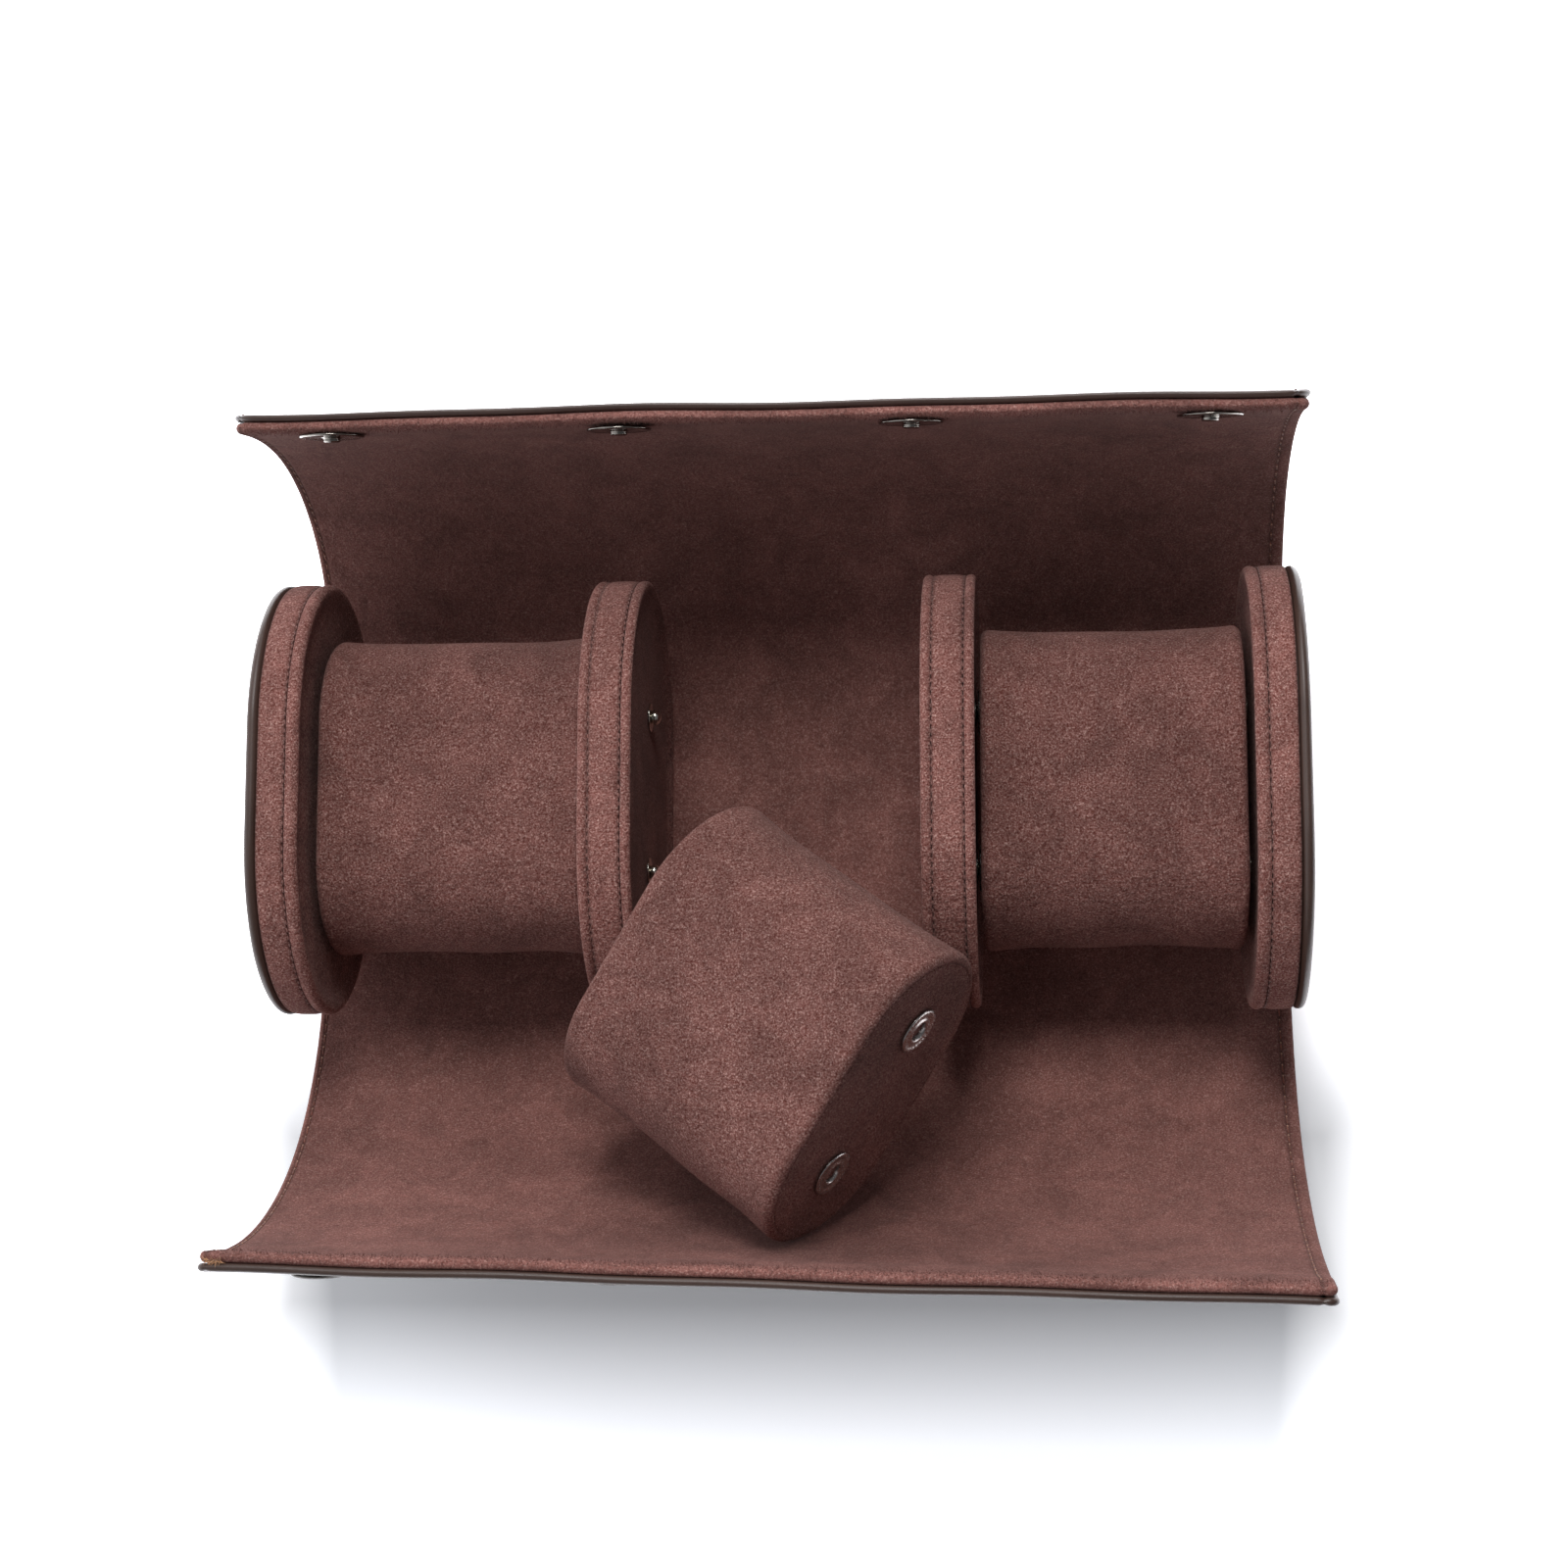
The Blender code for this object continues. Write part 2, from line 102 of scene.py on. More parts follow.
# Rounding of the wrap's corners at the front and the rear flap
LINING_CORNERS = (0.0022, 0.0050)
LEATHER_CORNERS = (0.0022, 0.0058)

# Fine form of the wrap's edges and side seams
FRONT_SWELL = -0.0001
# Reach of the painted sheen along the front and rear flap edges
SHEEN_BAND_REACH = (0.0030, 0.0048)
SEAM_GROOVE_WIDTH = 0.00055
SEAM_GROOVE_DEPTH = 0.00030
SEAM_END = 0.0045
NAP_FIBRE_WIDTH = 0.00017
NAP_SHARES = (0.01, 0.04, 0.09, 0.16, 0.25, 0.36, 0.50, 0.66, 0.84)

# Stage: places in metres, turns in radians
PAPER_COLOUR = (0.60, 0.60, 0.612)
FLOOR_HALF = 4.0
SHADOW_MIDDLE = (0.0, -0.099, 0.0)
SHADOW_HALF = (0.125, 0.020, 1.0)
SHADOW_FADE = 0.033
KEY_PLACE = (0.0, 0.650, 1.126)
LOW_LIGHT_PLACE = (0.0, 1.178, 0.549)
LAMP_SIZE = 0.45
LAMP_TARGET = (0.0, 0.0, 0.03)
ROOM_COLOUR = (0.95, 0.98, 1.02, 1.0)
CAMERA_LENS = 62.105
CAMERA_SENSOR = 36.0
CAMERA_PLACE = (0.060593, -0.082211, 0.659688)
CAMERA_TURN = (math.radians(7.7057), math.radians(5.5878), math.radians(-0.0274))


def from_hex(code):
    """Linear colour of an sRGB hex value."""
    parts = [int(code[i:i + 2], 16) / 255 for i in (0, 2, 4)]
    linear = [c / 12.92 if c <= 0.04045 else ((c + 0.055) / 1.055) ** 2.4 for c in parts]
    return (*linear, 1.0)


def add_node(tree, kind, inputs=None, **settings):
    """Add a node with its settings; an input is a plain value or another node's output."""
    made = tree.nodes.new(kind)
    for name, value in settings.items():
        setattr(made, name, value)
    for name, value in (inputs or {}).items():
        if isinstance(value, bpy.types.NodeSocket):
            tree.links.new(value, made.inputs[name])
        else:
            made.inputs[name].default_value = value
    return made


# Materials

def start_material(name):
    """A new material with an empty node tree."""
    made = bpy.data.materials.new(name)
    made.use_nodes = True
    made.node_tree.nodes.clear()
    return made, made.node_tree


def brushed_suede(name, colour, contrast=1.0):
    """Microfibre suede, woven and then brushed to raise a short nap.

    The nap gives light fibre tips and dark pits under half a millimetre wide, faint
    patches where it lies another way, and a weak pale sheen where it is seen edge on. The
    cloth is painted paler on worn rims and with painted sheen along the wrap's flap edges,
    and darker with painted shade in seam grooves. A nap pressed flat by rollers has less contrast.
    """
    made, tree = start_material(name)
    place = add_node(tree, "ShaderNodeTexCoord").outputs["Object"]
    # Fibre tips about 0.4 mm apart, drawn a little coarser than the real nap so that they show.
    fibres = add_node(tree, "ShaderNodeTexNoise", {
        "Vector": place, "Scale": 2300.0, "Detail": 3.0, "Roughness": 0.72})
    tufts = add_node(tree, "ShaderNodeTexNoise", {
        "Vector": place, "Scale": 640.0, "Detail": 2.0, "Roughness": 0.6})
    patches = add_node(tree, "ShaderNodeTexNoise", {
        "Vector": place, "Scale": 75.0, "Detail": 5.0, "Roughness": 0.62, "Distortion": 0.7})
    drift = add_node(tree, "ShaderNodeTexNoise", {
        "Vector": place, "Scale": 17.0, "Detail": 2.0, "Roughness": 0.5})
    tone = add_node(tree, "ShaderNodeValToRGB", {"Fac": fibres.outputs["Fac"]})
    ramp = tone.color_ramp
    ramp.elements[0].position = 0.36
    ramp.elements[0].color = (0.42, 0.20, 0.17, 1.0)
    ramp.elements[1].position = 0.68
    ramp.elements[1].color = (2.15, 3.00, 3.10, 1.0)
    ramp.elements.new(0.47).color = (0.82, 0.76, 0.76, 1.0)
    ramp.elements.new(0.56).color = (1.07, 1.09, 1.10, 1.0)
    specks = add_node(tree, "ShaderNodeMix", {
        "Factor": contrast, "A": (1.0, 1.0, 1.0, 1.0), "B": tone.outputs["Color"]}, data_type="RGBA")
    coarse = add_node(tree, "ShaderNodeMapRange", {
        "Value": tufts.outputs["Fac"], "From Min": 0.32, "From Max": 0.68, "To Min": 0.90, "To Max": 1.08})
    worn = add_node(tree, "ShaderNodeMapRange", {
        "Value": patches.outputs["Fac"], "From Min": 0.34, "From Max": 0.66, "To Min": 0.79, "To Max": 1.18})
    broad = add_node(tree, "ShaderNodeMapRange", {
        "Value": drift.outputs["Fac"], "From Min": 0.30, "From Max": 0.70, "To Min": 0.89, "To Max": 1.10})
    # Painted shade in seam grooves: the cloth is darkened there, down to 0.55.
    seam = add_node(tree, "ShaderNodeAttribute", attribute_name="seam")
    groove_shade = add_node(tree, "ShaderNodeMapRange", {
        "Value": seam.outputs["Fac"], "From Min": 0.0, "From Max": 1.0, "To Min": 1.0, "To Max": 0.55})
    # Paler where rubbed: worn rims and piping, and painted sheen in bands along the wrap's flap edges.
    edge = add_node(tree, "ShaderNodeAttribute", attribute_name="rubbed")
    wear_and_painted_sheen = add_node(tree, "ShaderNodeMapRange", {
        "Value": edge.outputs["Fac"], "From Min": 0.0, "From Max": 1.0, "To Min": 1.0, "To Max": 1.34})
    level = add_node(tree, "ShaderNodeMath", {0: coarse.outputs[0], 1: worn.outputs[0]}, operation="MULTIPLY")
    level = add_node(tree, "ShaderNodeMath", {0: level.outputs[0], 1: broad.outputs[0]}, operation="MULTIPLY")
    level = add_node(tree, "ShaderNodeMath", {
        0: level.outputs[0], 1: groove_shade.outputs[0]}, operation="MULTIPLY")
    level = add_node(tree, "ShaderNodeMath", {0: level.outputs[0], 1: wear_and_painted_sheen.outputs[0]}, operation="MULTIPLY")
    nap = add_node(tree, "ShaderNodeMix", {
        "Factor": 1.0, "A": specks.outputs["Result"], "B": colour}, data_type="RGBA", blend_type="MULTIPLY")
    shade = add_node(tree, "ShaderNodeVectorMath", {
        0: nap.outputs["Result"], "Scale": level.outputs[0]}, operation="SCALE")
    height = add_node(tree, "ShaderNodeMath", {
        0: tufts.outputs["Fac"], 1: 1.6, 2: fibres.outputs["Fac"]}, operation="MULTIPLY_ADD")
    bump = add_node(tree, "ShaderNodeBump", {
        "Height": height.outputs[0], "Strength": 0.85 * contrast, "Distance": 0.00045})
    shader = add_node(tree, "ShaderNodeBsdfPrincipled", {
        "Base Color": shade.outputs[0], "Roughness": 0.93, "Specular IOR Level": 0.18,
        "Sheen Weight": 0.10, "Sheen Roughness": 0.45, "Sheen Tint": (1.0, 0.74, 0.68, 1.0),
        "Normal": bump.outputs[0]})
    add_node(tree, "ShaderNodeOutputMaterial", {"Surface": shader.outputs[0]})
    return made


def waxed_leather(name, colour):
    """Smooth dark cowhide, dyed through, pressed and waxed.

    The wax gives a soft broad highlight, which the fine pores and a faint waviness break up.
    """
    made, tree = start_material(name)
    place = add_node(tree, "ShaderNodeTexCoord").outputs["Object"]
    # Grain cells about 0.7 mm wide, with shallow creases between them.
    cells = add_node(tree, "ShaderNodeTexVoronoi", {
        "Vector": place, "Scale": 1400.0, "Randomness": 1.0}, feature="DISTANCE_TO_EDGE")
    creases = add_node(tree, "ShaderNodeMapRange", {
        "Value": cells.outputs["Distance"], "From Min": 0.0, "From Max": 0.14, "To Min": 0.0, "To Max": 1.0})
    pull = add_node(tree, "ShaderNodeTexNoise", {
        "Vector": place, "Scale": 110.0, "Detail": 3.0, "Roughness": 0.55})
    dye = add_node(tree, "ShaderNodeTexNoise", {
        "Vector": place, "Scale": 36.0, "Detail": 4.0, "Roughness": 0.6, "Distortion": 0.6})
    tone = add_node(tree, "ShaderNodeMapRange", {
        "Value": dye.outputs["Fac"], "From Min": 0.3, "From Max": 0.7, "To Min": 0.82, "To Max": 1.20})
    pores = add_node(tree, "ShaderNodeMapRange", {
        "Value": creases.outputs[0], "From Min": 0.0, "From Max": 1.0, "To Min": 0.88, "To Max": 1.0})
    level = add_node(tree, "ShaderNodeMath", {0: tone.outputs[0], 1: pores.outputs[0]}, operation="MULTIPLY")
    shade = add_node(tree, "ShaderNodeVectorMath", {
        0: colour[:3], "Scale": level.outputs[0]}, operation="SCALE")
    gloss = add_node(tree, "ShaderNodeMapRange", {
        "Value": dye.outputs["Fac"], "From Min": 0.3, "From Max": 0.7, "To Min": 0.33, "To Max": 0.44})
    height = add_node(tree, "ShaderNodeMath", {
        0: pull.outputs["Fac"], 1: 3.0, 2: creases.outputs[0]}, operation="MULTIPLY_ADD")
    bump = add_node(tree, "ShaderNodeBump", {
        "Height": height.outputs[0], "Strength": 0.16, "Distance": 0.00010})
    shader = add_node(tree, "ShaderNodeBsdfPrincipled", {
        "Base Color": shade.outputs[0], "Roughness": gloss.outputs[0], "Specular IOR Level": 0.48,
        "Normal": bump.outputs[0]})
    add_node(tree, "ShaderNodeOutputMaterial", {"Surface": shader.outputs[0]})
    return made


def plated_metal(name, colour, smoothness):
    """Stamped brass under nickel or gunmetal plating; fine rubbing marks spread its highlights."""
    made, tree = start_material(name)
    place = add_node(tree, "ShaderNodeTexCoord").outputs["Object"]
    rubbed = add_node(tree, "ShaderNodeTexNoise", {
        "Vector": place, "Scale": 1900.0, "Detail": 3.0, "Roughness": 0.6})
    tarnish = add_node(tree, "ShaderNodeTexNoise", {
        "Vector": place, "Scale": 420.0, "Detail": 3.0, "Roughness": 0.55})
    gloss = add_node(tree, "ShaderNodeMapRange", {
        "Value": rubbed.outputs["Fac"], "From Min": 0.3, "From Max": 0.7,
        "To Min": smoothness * 0.75, "To Max": smoothness * 1.45})
    tone = add_node(tree, "ShaderNodeMapRange", {
        "Value": tarnish.outputs["Fac"], "From Min": 0.3, "From Max": 0.7, "To Min": 0.82, "To Max": 1.06})
    shade = add_node(tree, "ShaderNodeVectorMath", {
        0: colour[:3], "Scale": tone.outputs[0]}, operation="SCALE")
    bump = add_node(tree, "ShaderNodeBump", {
        "Height": rubbed.outputs["Fac"], "Strength": 0.12, "Distance": 0.00004})
    shader = add_node(tree, "ShaderNodeBsdfPrincipled", {
        "Base Color": shade.outputs[0], "Metallic": 1.0, "Roughness": gloss.outputs[0],
        "Normal": bump.outputs[0]})
    add_node(tree, "ShaderNodeOutputMaterial", {"Surface": shader.outputs[0]})
    return made


def spun_polyester(name, colour):
    """Twisted polyester sewing thread; its plies show as fine slanting ridges."""
    made, tree = start_material(name)
    place = add_node(tree, "ShaderNodeTexCoord").outputs["Object"]
    turned = add_node(tree, "ShaderNodeMapping", {"Vector": place, "Rotation": (0.6, 0.5, 0.8)})
    # About 0.5 mm from ply to ply.
    plies = add_node(tree, "ShaderNodeTexWave", {
        "Vector": turned.outputs[0], "Scale": 640.0, "Distortion": 1.5, "Detail": 1.0})
    fluff = add_node(tree, "ShaderNodeTexNoise", {
        "Vector": place, "Scale": 900.0, "Detail": 3.0, "Roughness": 0.6})
    level = add_node(tree, "ShaderNodeMapRange", {
        "Value": fluff.outputs["Fac"], "From Min": 0.3, "From Max": 0.7, "To Min": 0.62, "To Max": 1.35})
    shade = add_node(tree, "ShaderNodeVectorMath", {
        0: colour[:3], "Scale": level.outputs[0]}, operation="SCALE")
    bump = add_node(tree, "ShaderNodeBump", {
        "Height": plies.outputs["Fac"], "Strength": 0.6, "Distance": 0.00008})
    shader = add_node(tree, "ShaderNodeBsdfPrincipled", {
        "Base Color": shade.outputs[0], "Roughness": 0.68, "Sheen Weight": 0.25, "Normal": bump.outputs[0]})
    add_node(tree, "ShaderNodeOutputMaterial", {"Surface": shader.outputs[0]})
    return made


def pressed_board(name, colour):
    """Grey-brown stiffening board, pressed from pulp, with fibres that show on its faces."""
    made, tree = start_material(name)
    place = add_node(tree, "ShaderNodeTexCoord").outputs["Object"]
    pulp = add_node(tree, "ShaderNodeTexNoise", {
        "Vector": place, "Scale": 500.0, "Detail": 4.0, "Roughness": 0.65, "Distortion": 1.4})
    level = add_node(tree, "ShaderNodeMapRange", {
        "Value": pulp.outputs["Fac"], "From Min": 0.3, "From Max": 0.7, "To Min": 0.75, "To Max": 1.15})
    shade = add_node(tree, "ShaderNodeVectorMath", {
        0: colour[:3], "Scale": level.outputs[0]}, operation="SCALE")
    bump = add_node(tree, "ShaderNodeBump", {
        "Height": pulp.outputs["Fac"], "Strength": 0.3, "Distance": 0.0001})
    shader = add_node(tree, "ShaderNodeBsdfPrincipled", {
        "Base Color": shade.outputs[0], "Roughness": 0.9, "Normal": bump.outputs[0]})
    add_node(tree, "ShaderNodeOutputMaterial", {"Surface": shader.outputs[0]})
    return made


# Each finish: the function that makes it, the name of its colour and what else it takes.
FINISHES = {
    "brushed_microfibre_suede": (brushed_suede, "suede"),
    "rolled_microfibre_suede": (brushed_suede, "suede", 0.6),
    "waxed_smooth_leather": (waxed_leather, "leather"),
    "polished_nickel_plate": (plated_metal, "nickel", 0.16),
    # A darker copy of the nickel: painted shade for the dark reflections on the rear flap's studs.
    "rubbed_nickel_plate": (plated_metal, "flap_nickel", 0.13),
    "dark_gunmetal_plate": (plated_metal, "gunmetal", 0.26),
    "blackened_gunmetal_plate": (plated_metal, "flap_gunmetal", 0.34),
    "russet_polyester_thread": (spun_polyester, "side_thread"),
    # Pale dots at the side seams' needle holes: painted highlights.
    "pale_polyester_thread": (spun_polyester, "knot_thread"),
    "frayed_orange_thread": (spun_polyester, "loose_thread"),
    "brown_polyester_thread": (spun_polyester, "rim_thread"),
    "pressed_grey_board": (pressed_board, "board"),
}


def finish_of(kind):
    """The material of a kind, made the first time that it is asked for."""
    found = bpy.data.materials.get(kind)
    if found:
        return found
    make, colour, *extras = FINISHES[kind]
    return make(kind, getattr(bpy.context.scene.watch_roll_colours, colour), *extras)


# Meshes

def add_mesh(name, points, faces, kind, seam=None, rubbed=None):
    """A smooth mesh object at the origin, with values for the painted shade of its seams and for how pale its
    cloth is, from wear and painted sheen.
    """
    mesh = bpy.data.meshes.new(name)
    mesh.from_pydata([tuple(p) for p in np.asarray(points, float)], [], faces)
    mesh.update()
    mesh.shade_smooth()
    for label, values in (("seam", seam), ("rubbed", rubbed)):
        if values is not None:
            field = mesh.attributes.new(label, "FLOAT", "POINT")
            field.data.foreach_set("value", np.asarray(values, np.float32).ravel())
    mesh.materials.append(finish_of(kind))
    made = bpy.data.objects.new(name, mesh)
    bpy.context.scene.collection.objects.link(made)
    return made


def outward(made):
    """Turn a closed mesh the right way out, by the sign of its volume."""
    mesh = made.data
    mesh.calc_loop_triangles()
    corners = np.zeros(len(mesh.loop_triangles) * 3, np.int32)
    mesh.loop_triangles.foreach_get("vertices", corners)
    points = np.zeros(len(mesh.vertices) * 3)
    mesh.vertices.foreach_get("co", points)
    a, b, c = points.reshape(-1, 3)[corners.reshape(-1, 3)].transpose(1, 0, 2)
    if np.einsum("ij,ij->i", a, np.cross(b, c)).sum() < 0:
        mesh.flip_normals()
    return made


def settle(made, slot, *nodes):
    """Give a finished piece its body and hide the solids that it stands for; the slot is not used."""
    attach(made, "root")
    if nodes:
        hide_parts(*nodes)
    return made


def loft(name, rings, kind, rubbed=None):
    """Skin closed rings, and close both ends with a point at their middles."""
    rings = np.asarray(rings, float)
    count, around, _ = rings.shape
    points = np.vstack([rings.reshape(-1, 3), rings[0].mean(0), rings[-1].mean(0)])
    faces = []
    for i in range(count - 1):
        for j in range(around):
            k = (j + 1) % around
            faces.append((i * around + j, i * around + k, (i + 1) * around + k, (i + 1) * around + j))
    first, last = count * around, count * around + 1
    for j in range(around):
        k = (j + 1) % around
        faces.append((first, k, j))
        faces.append((last, (count - 1) * around + j, (count - 1) * around + k))
    if rubbed is not None:
        rubbed = np.concatenate([np.repeat(rubbed, around), [rubbed[0], rubbed[-1]]])
    return outward(add_mesh(name, points, faces, kind, None, rubbed))


def hoop(name, rings, kind, seam=None, rubbed=None):
    """Skin closed rings into a closed hoop, the last ring joined to the first."""
    rings = np.asarray(rings, float)
    count, around, _ = rings.shape
    faces = []
    for i in range(count):
        for j in range(around):
            k = (j + 1) % around
            n = (i + 1) % count
            faces.append((i * around + j, i * around + k, n * around + k, n * around + j))
    return outward(add_mesh(name, rings.reshape(-1, 3), faces, kind, seam, rubbed))


def outline(shape, inset, corner_steps=44, straight_steps=6):
    """Closed outline in Y and Z: straight top and bottom, elliptical corners."""
    depth, height, flat_half = shape
    across = depth / 2 - flat_half
    up = height / 2
    points = []
    for side, start in ((1, 0), (-1, 90), (-1, 180), (1, 270)):
        for step in range(corner_steps + 1):
            angle = math.radians(start + 90.0 * step / corner_steps)
            points.append((
                side * flat_half + (across - inset) * math.cos(angle), (up - inset) * math.sin(angle)))
        if start in (0, 180):
            y, z = points[-1]
            for step in range(1, straight_steps):
                points.append((y - 2.0 * y * step / straight_steps, z))
    kept = [points[0]]
    for point in points[1:]:
        if math.dist(point, kept[-1]) > 1e-7:
            kept.append(point)
    if math.dist(kept[0], kept[-1]) < 1e-7:
        kept.pop()
    return np.array(kept)


def outline_normals(points):
    """Outward directions of a closed outline."""
    along = np.roll(points, -1, 0) - np.roll(points, 1, 0)
    normal = np.stack([along[:, 1], -along[:, 0]], 1)
    return normal / np.linalg.norm(normal, axis=1, keepdims=True)


def ring_at(shape, x, inset, swell=0.0, centre_height=CENTRE_HEIGHT):
    """One ring of a loft: an outline at x, moved outwards by a swell."""
    flat = outline(shape, inset)
    flat = flat + outline_normals(flat) * np.reshape(swell, (-1, 1))
    return np.column_stack([np.broadcast_to(x, len(flat)), flat[:, 0], flat[:, 1] + centre_height])


def slow_wave(count, seed, turns, size):
    """A smooth closed ripple round an outline: a few sine waves with fixed random phases."""
    random = np.random.default_rng(seed)
    angle = np.linspace(0.0, 2.0 * math.pi, count, endpoint=False)
    wave = sum(np.sin(angle * k + random.uniform(0, 6.28)) / (1 + i) for i, k in enumerate(turns))
    return size * wave / max(1e-9, np.abs(wave).max())


# Geometry node trees

def new_tree(name, sockets):
    """A geometry node tree with its input sockets; returns it with its input and output nodes."""
    tree = bpy.data.node_groups.new(name, "GeometryNodeTree")
    tree.interface.new_socket("Geometry", in_out="INPUT", socket_type="NodeSocketGeometry")
    for label, kind, value in sockets:
        socket = tree.interface.new_socket(label, in_out="INPUT", socket_type=kind)
        if value is not None:
            socket.default_value = value
    tree.interface.new_socket("Geometry", in_out="OUTPUT", socket_type="NodeSocketGeometry")
    return tree, tree.nodes.new("NodeGroupInput"), tree.nodes.new("NodeGroupOutput")


def stitch_tree():
    """Stitches along a path: rounded threads, laid end to end and sunk into the cloth."""
    found = bpy.data.node_groups.get("Stitches")
    if found:
        return found
    tree, given, result = new_tree("Stitches", [
        ("Spacing", "NodeSocketFloat", 0.003),
        ("Stitch length", "NodeSocketFloat", 0.0022),
        ("Thread width", "NodeSocketFloat", 0.0005),
        ("Slant", "NodeSocketFloat", 0.1),
        ("Seed", "NodeSocketInt", 1),
        ("Thread", "NodeSocketMaterial", None),
    ])
    path = add_node(tree, "GeometryNodeMeshToCurve", {"Mesh": given.outputs["Geometry"]})
    places = add_node(tree, "GeometryNodeResampleCurve", {
        "Curve": path.outputs[0], "Length": given.outputs["Spacing"]}, mode="LENGTH")
    tangent = add_node(tree, "GeometryNodeInputTangent")
    upwards = add_node(tree, "GeometryNodeInputNamedAttribute", {
        "Name": "outwards"}, data_type="FLOAT_VECTOR")
    along = add_node(tree, "FunctionNodeAlignRotationToVector", {"Vector": tangent.outputs[0]}, axis="X")
    seated = add_node(tree, "FunctionNodeAlignRotationToVector", {
        "Rotation": along.outputs[0], "Vector": upwards.outputs[0]}, axis="Z", pivot_axis="X")
    wander = add_node(tree, "FunctionNodeRandomValue", {
        "Min": -0.05, "Max": 0.05, "Seed": given.outputs["Seed"]}, data_type="FLOAT")
    lean = add_node(tree, "ShaderNodeMath", {
        0: wander.outputs["Value"], 1: given.outputs["Slant"]}, operation="ADD")
    spin = add_node(tree, "ShaderNodeCombineXYZ", {"Z": lean.outputs[0]})
    turn = add_node(tree, "FunctionNodeEulerToRotation", {"Euler": spin.outputs[0]})
    laid = add_node(tree, "FunctionNodeRotateRotation", {
        "Rotation": seated.outputs[0], "Rotate By": turn.outputs[0]}, rotation_space="LOCAL")
    thread = add_node(tree, "GeometryNodeMeshUVSphere", {"Segments": 8, "Rings": 5, "Radius": 0.5})
    flat = add_node(tree, "ShaderNodeMath", {0: given.outputs["Thread width"], 1: 0.8}, operation="MULTIPLY")
    size = add_node(tree, "ShaderNodeCombineXYZ", {
        "X": given.outputs["Stitch length"], "Y": given.outputs["Thread width"], "Z": flat.outputs[0]})
    uneven = add_node(tree, "FunctionNodeRandomValue", {
        "Min": 0.86, "Max": 1.10, "Seed": given.outputs["Seed"]}, data_type="FLOAT")
    sized = add_node(tree, "ShaderNodeVectorMath", {
        0: size.outputs[0], "Scale": uneven.outputs["Value"]}, operation="SCALE")
    rows = add_node(tree, "GeometryNodeInstanceOnPoints", {
        "Points": places.outputs[0], "Instance": thread.outputs["Mesh"],
        "Rotation": laid.outputs[0], "Scale": sized.outputs[0]})
    real = add_node(tree, "GeometryNodeRealizeInstances", {"Geometry": rows.outputs[0]})
    smooth = add_node(tree, "GeometryNodeSetShadeSmooth", {"Geometry": real.outputs[0]})
    dressed = add_node(tree, "GeometryNodeSetMaterial", {
        "Geometry": smooth.outputs[0], "Material": given.outputs["Thread"]})
    tree.links.new(dressed.outputs[0], result.inputs[0])
    return tree


